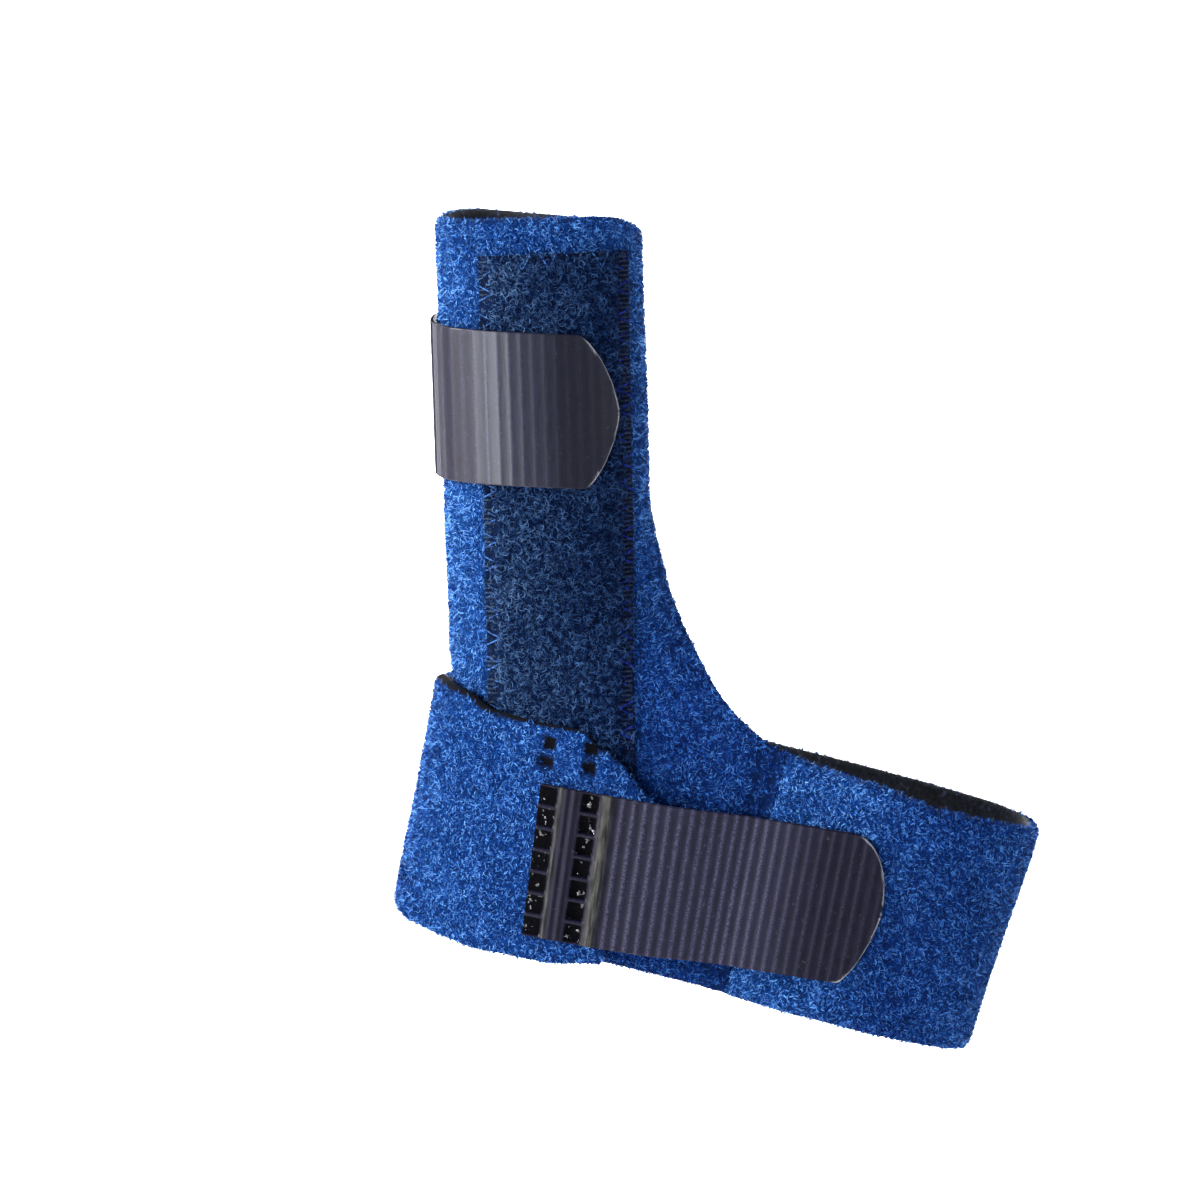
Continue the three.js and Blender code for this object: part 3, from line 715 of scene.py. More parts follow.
def pile_group():
    """Tangled fibres: streaks in three directions, clumps and wide patches of wear."""
    tree, given, out = new_group(
        "Tangled pile",
        [
            ("Vector", "v", None),
            ("Dark", "c", (0, 0, 0, 1)),
            ("Middle", "c", (0.2, 0.2, 0.2, 1)),
            ("Light", "c", (0.8, 0.8, 0.8, 1)),
            ("Fibre Scale", "f", 1100.0),
            ("Curl", "f", 1.0),
            ("Clump Scale", "f", 330.0),
        ],
        [("Color", "c"), ("Height", "f")],
    )
    strands = []
    for angle in ((0.3, 0.2, 0.5), (1.3, 0.4, 2.0), (0.7, 1.2, 4.1)):
        turned = node(
            tree,
            "ShaderNodeMapping",
            {"Vector": given.outputs["Vector"], "Rotation": angle, "Scale": (1, 3.2, 1)},
        )
        streak = cloud(tree, turned.outputs[0], given.outputs["Fibre Scale"], 2.0, given.outputs["Curl"])
        strands.append(streak)
    tangle = math_node(tree, "MAXIMUM", math_node(tree, "MAXIMUM", strands[0], strands[1]), strands[2])
    strand = ramp(tree, tangle, 0.5, 0.78)
    clump = cloud(tree, given.outputs["Vector"], given.outputs["Clump Scale"], 3.0)
    wide = cloud(tree, given.outputs["Vector"], 70.0, 2.0)
    level = plus(tree, times(tree, strand, 0.75), times(tree, clump, 0.55))
    level = plus(tree, level, times(tree, wide, 0.12))
    lower = colour_mix(tree, ramp(tree, level, 0.25, 0.75), given.outputs["Dark"], given.outputs["Middle"])
    colour = colour_mix(tree, ramp(tree, level, 0.7, 1.2), lower, given.outputs["Light"])
    tree.links.new(colour, out.inputs["Color"])
    height = plus(tree, times(tree, strand, 0.6), times(tree, clump, 0.8))
    tree.links.new(height, out.inputs["Height"])
    return tree


def speckle_group():
    """A fine grain that breaks up gloss, with a few pale specks of dust."""
    tree, given, out = new_group(
        "Fine grain", [("Vector", "v", None), ("Grain Scale", "f", 5000.0), ("Dust", "f", 0.1)],
        [("Grain", "f"), ("Dust", "f")],
    )
    grain = cloud(tree, given.outputs["Vector"], given.outputs["Grain Scale"], 3.0)
    specks = cloud(tree, given.outputs["Vector"], 1400.0, 2.0)
    dust = times(tree, ramp(tree, specks, 0.66, 0.78), given.outputs["Dust"])
    tree.links.new(grain, out.inputs["Grain"])
    tree.links.new(dust, out.inputs["Dust"])
    return tree


def new_material(name):
    material = bpy.data.materials.new(name)
    material.use_nodes = True
    tree = material.node_tree
    shader = tree.nodes["Principled BSDF"]
    coordinates = tree.nodes.new("ShaderNodeTexCoord")
    return material, tree, shader, coordinates


def group_node(tree, group, inputs):
    made = tree.nodes.new("ShaderNodeGroup")
    made.node_tree = group
    for key, value in inputs.items():
        if isinstance(value, bpy.types.NodeSocket):
            tree.links.new(value, made.inputs[key])
        else:
            made.inputs[key].default_value = value
    return made


def attribute(tree, name):
    return node(tree, "ShaderNodeAttribute", attribute_name=name).outputs["Fac"]


def shade(colour, factor):
    return (*[channel * factor for channel in colour[:3]], 1)


def pile_material(name, colour, light, scale, curl, marked=False):
    material, tree, shader, coordinates = new_material(name)
    pile = group_node(tree, bpy.data.node_groups["Tangled pile"], {
        "Vector": coordinates.outputs["Object"], "Dark": shade(colour, 0.2), "Middle": shade(colour, 0.7),
        "Light": (*light, 1), "Fibre Scale": scale, "Curl": curl})
    base = pile.outputs["Color"]
    if marked:
        base = colour_mix(tree, 1.0, base, tone_colour(tree), "MULTIPLY")
        base = colour_mix(tree, attribute(tree, "pressed"), base, shade(colour, 0.2))
        base = colour_mix(tree, attribute(tree, "weld"), base, (0.003, 0.003, 0.005, 1))
        # Dark band at the flap's top edge: foam of the cut edge, with painted shade of the gap behind it.
        base = colour_mix(tree, attribute(tree, "foam_edge_and_painted_shade"), base, (0.006, 0.007, 0.012, 1))
    relief = node(
        tree, "ShaderNodeBump", {"Height": pile.outputs["Height"], "Strength": 0.9, "Distance": 0.0004}
    )
    tree.links.new(base, shader.inputs["Base Color"])
    tree.links.new(relief.outputs[0], shader.inputs["Normal"])
    shader.inputs["Roughness"].default_value = 0.9
    shader.inputs["Specular IOR Level"].default_value = 0.1
    return material


def tone_colour(tree):
    """The tone attribute as a colour, bluer where it is dark: random patches where the nap lies lighter or
    darker, and painted light and shade where the tone follows how the light falls.
    """
    tone = attribute(tree, "tone")
    channels = {n: math_node(tree, "POWER", tone, power) for n, power in enumerate((1.7, 1.2, 0.75))}
    return node(tree, "ShaderNodeCombineColor", channels).outputs[0]


def fibre_material(name, colour, light, marked=False):
    material, tree, shader, coordinates = new_material(name)
    patch = cloud(tree, coordinates.outputs["Object"], 650.0, 2.0)
    level = plus(tree, times(tree, attribute(tree, "tint"), 0.62),
                      times(tree, patch, 0.5))
    base = colour_mix(tree, ramp(tree, level, 0.3, 0.7), shade(colour, 0.45), (*colour, 1))
    base = colour_mix(tree, ramp(tree, level, 0.5, 0.95), base, (*light, 1))
    if marked:
        base = colour_mix(tree, 1.0, base, tone_colour(tree), "MULTIPLY")
    tree.links.new(base, shader.inputs["Base Color"])
    shader.inputs["Roughness"].default_value = 0.5
    shader.inputs["Specular IOR Level"].default_value = 0.04
    return material


def lining_material(colour):
    material, tree, shader, coordinates = new_material("dark_lining")
    knit = node(tree, "ShaderNodeTexVoronoi", {"Vector": coordinates.outputs["Object"], "Scale": 1500.0})
    soft = cloud(tree, coordinates.outputs["Object"], 420.0, 3.0)
    level = plus(tree, times(tree, knit.outputs["Distance"], 0.5), times(tree, soft, 0.7))
    base = colour_mix(tree, ramp(tree, level, 0.35, 0.75), shade(colour, 0.15), shade(colour, 0.9))
    base = colour_mix(tree, ramp(tree, level, 0.7, 0.95), base, shade(colour, 4.5))
    relief = node(tree, "ShaderNodeBump", {"Height": level, "Strength": 0.8, "Distance": 0.0003})
    tree.links.new(base, shader.inputs["Base Color"])
    tree.links.new(relief.outputs[0], shader.inputs["Normal"])
    shader.inputs["Roughness"].default_value = 0.85
    return material


def strap_material(name, colour, rim_colour, rib_light, roughness, coat, coat_roughness):
    material, tree, shader, coordinates = new_material(name)
    grain = group_node(
        tree,
        bpy.data.node_groups["Fine grain"],
        {"Vector": coordinates.outputs["Object"], "Grain Scale": 4200.0, "Dust": 0.12},
    )
    drawn = node(
        tree,
        "ShaderNodeMapping",
        {"Vector": node(tree, "ShaderNodeUVMap", uv_map="cloth").outputs[0], "Scale": (1, 0.09, 1)},
    )
    streak = cloud(tree, drawn.outputs[0], 260.0, 3.0)
    weld, rim = attribute(tree, "weld"), attribute(tree, "rim")
    dotted = ramp(tree, grain.outputs["Grain"], 0.4, 0.6)
    rib = times(tree, attribute(tree, "rib"), plus(tree, 0.25, times(tree, dotted, 0.75)))
    base = colour_mix(tree, ramp(tree, streak, 0.35, 0.7), shade(colour, 0.75), shade(colour, 1.3))
    base = colour_mix(tree, times(tree, rib, rib_light), base, (0.07, 0.067, 0.125, 1))
    # tone carries the straps' painted shade: it darkens the colour here and, through seen, dims the shine
    # and the coat.
    tone = attribute(tree, "tone")
    base = colour_mix(
        tree,
        1.0,
        base,
        node(tree, "ShaderNodeCombineColor", {0: tone, 1: tone, 2: tone}).outputs[0],
        "MULTIPLY",
    )
    dull = colour_mix(tree, ramp(tree, streak, 0.35, 0.65), shade(rim_colour, 0.35), shade(rim_colour, 1.5))
    base = colour_mix(tree, rim, base, dull)
    base = colour_mix(tree, attribute(tree, "tip"), base, (0.28, 0.28, 0.3, 1))
    base = colour_mix(tree, grain.outputs["Dust"], base, (0.2, 0.2, 0.22, 1))
    base = colour_mix(tree, weld, base, (0.003, 0.003, 0.004, 1))
    melt = cloud(tree, coordinates.outputs["Object"], 1250.0, 1.0)
    glint = times(tree, ramp(tree, melt, 0.64, 0.67), weld)
    bare = minus(tree, 1.0, weld)
    gloss = times(tree, bare, plus(tree, roughness, times(tree, grain.outputs["Grain"], 0.12)))
    turned_away = node(tree, "ShaderNodeLayerWeight", {"Blend": 0.5}).outputs["Facing"]
    seen = times(tree, tone, minus(tree, 1.0, ramp(tree, turned_away, 0.5, 0.85)))
    shine = plus(tree, times(tree, times(tree, bare, seen), 0.22), glint)
    height = plus(tree, times(tree, times(tree, streak, bare), 0.14),
                       times(tree, times(tree, melt, weld), 1.8))
    relief = node(tree, "ShaderNodeBump", {"Height": height, "Strength": 0.6, "Distance": 0.0002})
    tree.links.new(base, shader.inputs["Base Color"])
    tree.links.new(plus(tree, gloss, 0.06), shader.inputs["Roughness"])
    tree.links.new(shine, shader.inputs["Specular IOR Level"])
    tree.links.new(relief.outputs[0], shader.inputs["Normal"])
    tree.links.new(times(tree, times(tree, bare, seen), coat), shader.inputs["Coat Weight"])
    tree.links.new(relief.outputs[0], shader.inputs["Coat Normal"])
    shader.inputs["Coat Roughness"].default_value = coat_roughness
    return material


def hook_material(colour):
    material, tree, shader, coordinates = new_material("hook_field")
    field = node(tree, "ShaderNodeTexVoronoi", {"Vector": coordinates.outputs["Object"], "Scale": 1300.0})
    base = colour_mix(
        tree, ramp(tree, field.outputs["Distance"], 0.1, 0.6), shade(colour, 2.0), shade(colour, 0.5)
    )
    relief = node(
        tree, "ShaderNodeBump", {"Height": field.outputs["Distance"], "Strength": 1.0, "Distance": 0.0004}
    )
    tree.links.new(base, shader.inputs["Base Color"])
    tree.links.new(relief.outputs[0], shader.inputs["Normal"])
    shader.inputs["Roughness"].default_value = 0.5
    return material


def thread_material(name, colour):
    material, tree, shader, coordinates = new_material(name)
    twist = cloud(tree, coordinates.outputs["Object"], 2600.0, 1.0)
    base = colour_mix(tree, ramp(tree, twist, 0.42, 0.62), shade(colour, 0.5), shade(colour, 1.7))
    tree.links.new(base, shader.inputs["Base Color"])
    shader.inputs["Roughness"].default_value = 0.6
    shader.inputs["Specular IOR Level"].default_value = 0.12
    return material


# Geometry nodes
def geometry_tree(name, sockets):
    tree = bpy.data.node_groups.new(name, "GeometryNodeTree")
    kinds = {
        "g": "NodeSocketGeometry", "f": "NodeSocketFloat", "i": "NodeSocketInt", "m": "NodeSocketMaterial"
    }
    for label, kind in sockets:
        tree.interface.new_socket(label, in_out="INPUT", socket_type=kinds[kind])
    tree.interface.new_socket("Mesh", in_out="OUTPUT", socket_type="NodeSocketGeometry")
    return tree, tree.nodes.new("NodeGroupInput").outputs, tree.nodes.new("NodeGroupOutput").inputs[0]


def random_float(tree, low, high, seed):
    made = node(tree, "FunctionNodeRandomValue", data_type="FLOAT")
    made.inputs[2].default_value, made.inputs[3].default_value = low, high
    tree.links.new(seed, made.inputs["Seed"])
    return made.outputs[1]


def blade(tree, given, segments):
    """A tapered strip that starts at its root and bends over; Bend 1 curls it half round."""
    strip = node(
        tree,
        "GeometryNodeMeshGrid",
        {"Size X": given["Width"], "Size Y": 1.0, "Vertices X": 2, "Vertices Y": segments + 1},
    )
    place = node(tree, "ShaderNodeSeparateXYZ", {0: node(tree, "GeometryNodeInputPosition").outputs[0]})
    share = plus(tree, place.outputs["Y"], 0.5)
    angle = times(tree, share, times(tree, given["Bend"], math.pi))
    radius = math_node(tree, "DIVIDE", given["Length"], times(tree, given["Bend"], math.pi))
    forward = times(tree, math_node(tree, "SINE", angle), radius)
    over = times(tree, minus(tree, 1.0, math_node(tree, "COSINE", angle)), radius)
    taper = minus(tree, 1.0, times(tree, share, 0.6))
    bent = node(tree, "ShaderNodeCombineXYZ", {
        "X": times(tree, place.outputs["X"], taper), "Y": forward, "Z": over})
    return node(
        tree, "GeometryNodeSetPosition", {"Geometry": strip.outputs["Mesh"], "Position": bent.outputs[0]}
    ).outputs[0]


def curl(tree, given, segments):
    """A narrow ribbon that turns in its own plane and arches up between its two ends."""
    strip = node(
        tree,
        "GeometryNodeMeshGrid",
        {"Size X": given["Width"], "Size Y": 1.0, "Vertices X": 2, "Vertices Y": segments + 1},
    )
    place = node(tree, "ShaderNodeSeparateXYZ", {0: node(tree, "GeometryNodeInputPosition").outputs[0]})
    share = plus(tree, place.outputs["Y"], 0.5)
    sweep = times(tree, given["Bend"], math.pi)
    angle = times(tree, share, sweep)
    radius = math_node(tree, "DIVIDE", given["Length"], sweep)
    sine, cosine = math_node(tree, "SINE", angle), math_node(tree, "COSINE", angle)
    aside = plus(tree, times(tree, minus(tree, 1.0, cosine), radius),
                      times(tree, place.outputs["X"], cosine))
    ahead = minus(tree, times(tree, sine, radius), times(tree, place.outputs["X"], sine))
    rise = times(
        tree, math_node(tree, "SINE", times(tree, share, math.pi)), times(tree, given["Length"], 0.25)
    )
    turned = node(tree, "ShaderNodeCombineXYZ", {"X": aside, "Y": ahead, "Z": rise})
    return node(
        tree, "GeometryNodeSetPosition", {"Geometry": strip.outputs["Mesh"], "Position": turned.outputs[0]}
    ).outputs[0]


def nap_tree(name, fibre, segments):
    """Short fibres that stand on a cloth, thinned by its nap attribute. Neighbours lean alike."""
    tree, given, out = geometry_tree(
        name,
        [
            ("Cloth", "g"),
            ("Density", "f"),
            ("Length", "f"),
            ("Width", "f"),
            ("Bend", "f"),
            ("Lean Min", "f"),
            ("Lean Max", "f"),
            ("Tuft Size", "f"),
            ("Seed", "i"),
            ("Material", "m"),
        ],
    )
    weight = node(tree, "GeometryNodeInputNamedAttribute", {"Name": "nap"}, data_type="FLOAT")
    density = times(tree, given["Density"], weight.outputs["Attribute"])
    roots = node(
        tree,
        "GeometryNodeDistributePointsOnFaces",
        {"Mesh": given["Cloth"], "Density": density, "Seed": given["Seed"]},
    )
    tuft = node(
        tree,
        "ShaderNodeTexNoise",
        {"Scale": math_node(tree, "DIVIDE", 1.0, given["Tuft Size"]), "Detail": 1.0},
    )
    tree.links.new(node(tree, "GeometryNodeInputPosition").outputs[0], tuft.inputs["Vector"])
    yaw = plus(tree, times(tree, tuft.outputs["Fac"], 22.0), random_float(tree, -1.3, 1.3, given["Seed"]))
    lean = node(tree, "FunctionNodeRandomValue", {"Seed": plus(tree, given["Seed"], 1.0)}, data_type="FLOAT")
    tree.links.new(given["Lean Min"], lean.inputs[2])
    tree.links.new(given["Lean Max"], lean.inputs[3])
    swing = node(
        tree, "FunctionNodeEulerToRotation", {0: node(tree, "ShaderNodeCombineXYZ", {"Z": yaw}).outputs[0]}
    )
    raised = node(tree, "FunctionNodeEulerToRotation", {0: node(tree, "ShaderNodeCombineXYZ", {
        "X": minus(tree, math.pi / 2, lean.outputs[1]),
        "Y": random_float(tree, -0.8, 0.8, plus(tree, given["Seed"], 2.0))}).outputs[0]})
    pose = node(
        tree,
        "FunctionNodeRotateRotation",
        {0: roots.outputs["Rotation"], 1: swing.outputs[0]},
        rotation_space="LOCAL",
    )
    pose = node(
        tree,
        "FunctionNodeRotateRotation",
        {0: pose.outputs[0], 1: raised.outputs[0]},
        rotation_space="LOCAL",
    )
    placed = node(
        tree,
        "GeometryNodeInstanceOnPoints",
        {
            "Points": roots.outputs["Points"],
            "Instance": fibre(tree, given, segments),
            "Rotation": pose.outputs[0],
            "Scale": random_float(tree, 0.6, 1.3, plus(tree, given["Seed"], 3.0)),
        },
    )
    tinted = node(
        tree,
        "GeometryNodeStoreNamedAttribute",
        {
            "Geometry": placed.outputs[0],
            "Name": "tint",
            "Value": random_float(tree, 0.0, 1.0, plus(tree, given["Seed"], 4.0)),
        },
        data_type="FLOAT",
        domain="INSTANCE",
    )
    real = node(tree, "GeometryNodeRealizeInstances", {0: tinted.outputs[0]})
    final = node(
        tree, "GeometryNodeSetMaterial", {"Geometry": real.outputs[0], "Material": given["Material"]}
    )
    tree.links.new(final.outputs[0], out)
    return tree


def thread_tree():
    """A round thread along the edges of a mesh."""
    tree, given, out = geometry_tree("Thread", [("Path", "g"), ("Radius", "f"), ("Material", "m")])
    curve = node(tree, "GeometryNodeMeshToCurve", {"Mesh": given["Path"]})
    ring = node(tree, "GeometryNodeCurvePrimitiveCircle", {"Resolution": 5, "Radius": given["Radius"]})
    tube = node(
        tree,
        "GeometryNodeCurveToMesh",
        {"Curve": curve.outputs[0], "Profile Curve": ring.outputs[0], "Fill Caps": True},
    )
    real = node(tree, "GeometryNodeRealizeInstances", {0: tube.outputs[0]})
    final = node(
        tree, "GeometryNodeSetMaterial", {"Geometry": real.outputs[0], "Material": given["Material"]}
    )
    tree.links.new(final.outputs[0], out)
    return tree


def grown(source, tree, name, values):
    """The plain mesh that a node tree makes from source."""
    modifier = source.modifiers.new("grow", "NODES")
    modifier.node_group = tree
    for item in tree.interface.items_tree:
        if item.item_type == "SOCKET" and item.in_out == "INPUT" and item.name in values:
            modifier[item.identifier] = values[item.name]
    graph = bpy.context.evaluated_depsgraph_get()
    mesh = bpy.data.meshes.new_from_object(source.evaluated_get(graph))
    source.modifiers.remove(modifier)
    mesh.name = name
    piece = bpy.data.objects.new(name, mesh)
    bpy.context.scene.collection.objects.link(piece)
    return piece


def path_object(name, lines):
    mesh = bpy.data.meshes.new(name)
    points, edges = [], []
    for line in lines:
        start = len(points)
        points += [tuple(p * MM) for p in line]
        edges += [(start + n, start + n + 1) for n in range(len(line) - 1)]
    mesh.from_pydata(points, edges, [])
    return link(mesh, name)


def keep(piece, slot, *nodes):
    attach(piece, "root")
    if nodes:
        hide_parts(*nodes)


class SplintCloth(bpy.types.PropertyGroup):
    cloth_colour: bpy.props.FloatVectorProperty(
        name="Cloth colour",
        description="Colour of the padded cloth's face",
        subtype="COLOR",
        default=(0.006, 0.07, 0.36),
    )
    fibre_colour: bpy.props.FloatVectorProperty(
        name="Fibre highlight",
        description="Colour of the nap's palest fibres",
        subtype="COLOR",
        default=(0.152, 0.4, 0.9),
    )
    lining_colour: bpy.props.FloatVectorProperty(
        name="Lining colour",
        description="Colour of the knitted lining",
        subtype="COLOR",
        default=(0.011, 0.014, 0.026),
    )
    nap_length: bpy.props.FloatProperty(
        name="Nap length",
        description="Length of the cloth's fibres",
        subtype="DISTANCE",
        default=0.7 * MM,
        precision=5,
    )
    nap_width: bpy.props.FloatProperty(
        name="Fibre width",
        description="Width of one fibre at its root",
        subtype="DISTANCE",
        default=0.145 * MM,
        precision=5,
    )
    nap_per_area: bpy.props.FloatProperty(
        name="Nap density", description="Fibres on a square millimetre of cloth", default=11.8, min=0)
    lump_height: bpy.props.FloatProperty(
        name="Lump height",
        description="How far the padding rises and falls",
        subtype="DISTANCE",
        default=0.25 * MM,
        precision=5,
    )


class SplintStrip(bpy.types.PropertyGroup):
    pile_colour: bpy.props.FloatVectorProperty(
        name="Pile colour",
        description="Colour of the loop strip",
        subtype="COLOR",
        default=(0.0014, 0.016, 0.082),
    )
    loop_colour: bpy.props.FloatVectorProperty(
        name="Loop highlight",
        description="Colour of the strip's palest loops",
        subtype="COLOR",
        default=(0.078, 0.168, 0.35),
    )
    thread_colour: bpy.props.FloatVectorProperty(
        name="Thread colour",
        description="Colour of the left and top zigzag",
        subtype="COLOR",
        default=(0.035, 0.11, 0.34),
    )
    blue_thread_colour: bpy.props.FloatVectorProperty(
        name="Blue thread colour",
        description="Colour of the right zigzag",
        subtype="COLOR",
        default=(0.004, 0.018, 0.24),
    )
    weft_colour: bpy.props.FloatVectorProperty(
        name="Weft colour",
        description="Colour of the left bare edge threads",
        subtype="COLOR",
        default=(0.022, 0.042, 0.085),
    )
    dark_weft_colour: bpy.props.FloatVectorProperty(
        name="Dark weft colour",
        description="Colour of the right bare edge threads",
        subtype="COLOR",
        default=(0.011, 0.019, 0.042),
    )
    weft_pitch: bpy.props.FloatProperty(
        name="Weft pitch",
        description="From one bare edge thread to the next",
        subtype="DISTANCE",
        default=0.74 * MM,
        precision=5,
    )
    weft_radius: bpy.props.FloatProperty(
        name="Weft radius",
        description="Half the thickness of a bare edge thread",
        subtype="DISTANCE",
        default=0.15 * MM,
        precision=5,
    )
    loops_per_area: bpy.props.FloatProperty(
        name="Loop density", description="Loops on a square millimetre of the strip", default=17.8, min=0)
    loop_length: bpy.props.FloatProperty(
        name="Loop length",
        description="Length of one loop's thread",
        subtype="DISTANCE",
        default=1.35 * MM,
        precision=5,
    )
    loop_width: bpy.props.FloatProperty(
        name="Loop thread width",
        description="Width of a loop's thread at its root",
        subtype="DISTANCE",
        default=0.09 * MM,
        precision=5,
    )
    stitch_pitch: bpy.props.FloatProperty(
        name="Zigzag pitch",
        description="Length of one zigzag",
        subtype="DISTANCE",
        default=3.9 * MM,
        precision=5,
    )
    stitch_depth: bpy.props.FloatProperty(
        name="Zigzag width",
        description="Width of the zigzag",
        subtype="DISTANCE",
        default=2.2 * MM,
        precision=5,
    )
    thread_radius: bpy.props.FloatProperty(
        name="Thread radius",
        description="Half the thread's thickness",
        subtype="DISTANCE",
        default=0.12 * MM,
        precision=5,
    )


class SplintStraps(bpy.types.PropertyGroup):
    strap_colour: bpy.props.FloatVectorProperty(
        name="Strap colour",
        description="Colour of the ribbed hook tape",
        subtype="COLOR",
        default=(0.0085, 0.008, 0.024),
    )
    rim_colour: bpy.props.FloatVectorProperty(
        name="Weld rim colour",
        description="Colour of the ridges that the weld squeezes up",
        subtype="COLOR",
        default=(0.041, 0.041, 0.038),
    )


class SplintStage(bpy.types.PropertyGroup):
    floor_drop: bpy.props.FloatProperty(
        name="Floor drop",
        description="How far the floor lies under the splint",
        subtype="DISTANCE",
        default=0.25,
    )
    floor_colour: bpy.props.FloatVectorProperty(
        name="Floor colour",
        description="Colour of the floor and backdrop",
        subtype="COLOR",
        default=(0.93, 0.93, 0.94),
    )
    camera_distance: bpy.props.FloatProperty(
        name="Camera distance",
        description="From the camera to the splint's middle",
        subtype="DISTANCE",
        default=0.76,
    )
    camera_elevation: bpy.props.FloatProperty(
        name="Camera elevation",
        description="Angle of the view over the level",
        subtype="ANGLE",
        default=math.radians(7),
    )
    camera_roll: bpy.props.FloatProperty(
        name="Camera roll",
        description="Turn of the picture about its middle",
        subtype="ANGLE",
        default=math.radians(-1.75),
    )


# The marks that wear, seams and neighbours leave on the cloth, and its tone, with painted light on the
# sleeve's sides
def add_lumps(sheet, lump):
    """Lets the padding rise and fall softly."""
    sheet.base = sheet.base + sheet.normal * (lump * unevenness(sheet.base, PADDING_LUMP))[..., None]


def patchy(sheet):
    return 1 + 0.12 * unevenness(sheet.base, TONE_PATCH, 5.0)


def seam_marks(base, reach, height, on_palm):
    """How far the cloth is pressed along the seam, and the two files of small pits in it."""
    wander = SEAM_PRESS["wander"] * unevenness(base, 3.0, 4.0)
    middle = SEAM_REACH - SEAM_PRESS["before_edge"]
    pressed = bump(reach + wander, middle, SEAM_PRESS["half"], SEAM_PRESS["soft"]) * on_palm
    pits = np.zeros_like(reach)
    for file in SEAM_PITS["files"]:
        for row in range(-6, 7):
            over = bump(height, row * WELD_PITCH, SEAM_PITS["half_height"], 0.8)
            pit = bump(reach, SEAM_REACH + file, SEAM_PITS["half_length"], 0.6) * over
            pits = np.maximum(pits, pit * on_palm)
    return pressed, pits


def under_strip(x, y, z):
    """1 on the sleeve where the loop strip covers it."""
    strip_x = x - STRIP_LEAN * (z - PALM_HEIGHT)
    inside = bump(strip_x, (STRIP_LEFT + STRIP_RIGHT) / 2, (STRIP_RIGHT - STRIP_LEFT) / 2 - 1.0, 0.6)
    return (y < 0) * inside * smooth((STRIP_TOP - 1.0 - z) / 0.6) * smooth((z - STRIP_BOTTOM - 1) / 1)


def sleeve_with_marks(lump):
    """The sleeve's sheet, thinned where it laps the band, and the marks its material and nap read."""
    sheet = panel_sheet()
    reach = along(sheet.base[..., 0], sheet.base[..., 2])
    height = across(sheet.base[..., 0], sheet.base[..., 2])
    on_palm = (sheet.base[..., 1] < 0) & (height < PANEL_RISE + 2)
    lap = smooth((reach - SEAM_REACH + SEAM_LAP + GAP) / LAP_STEP) * on_palm
    sheet.low = sheet.low + (CLOTH + GAP) / 2 * lap
    add_lumps(sheet, lump)
    pressed, pits = seam_marks(sheet.base, reach, height, on_palm)
    sheet.high = sheet.high - SEAM_PRESS["depth"] * pressed - SEAM_PITS["depth"] * pits
    x, y, z = (sheet.base[..., n] for n in range(3))
    # The tone holds painted light: the sleeve's left side and its upper right side are made lighter, as if
    # lit more. It is also darker low on the body and where the seam is pressed, and patchy at random.
    low_body = smooth((48 - z) / 18) * smooth((x + 26) / 12)
    sides = 0.28 * smooth((-33 - x) / 7) + 0.2 * smooth((x + 15) / 4) * smooth((z - 50) / 15)
    tone = (1 + sides - 0.38 * low_body - 0.08 * pressed) * patchy(sheet)
    flap = (y < 0) * under_flap(sheet.base)
    hidden = np.maximum(np.maximum(under_strip(x, y, z), under_finger_strap(sheet.base)), flap)
    nap = (1 - 0.35 * pressed) * (1 - 0.85 * pits) * (1 - hidden)
    none = np.zeros_like(reach)
    return sheet, {
        "nap": nap, "tone": tone, "pressed": 0.15 * pressed + 0.7 * pits, "weld": none, "foam_edge_and_painted_shade": none
    }


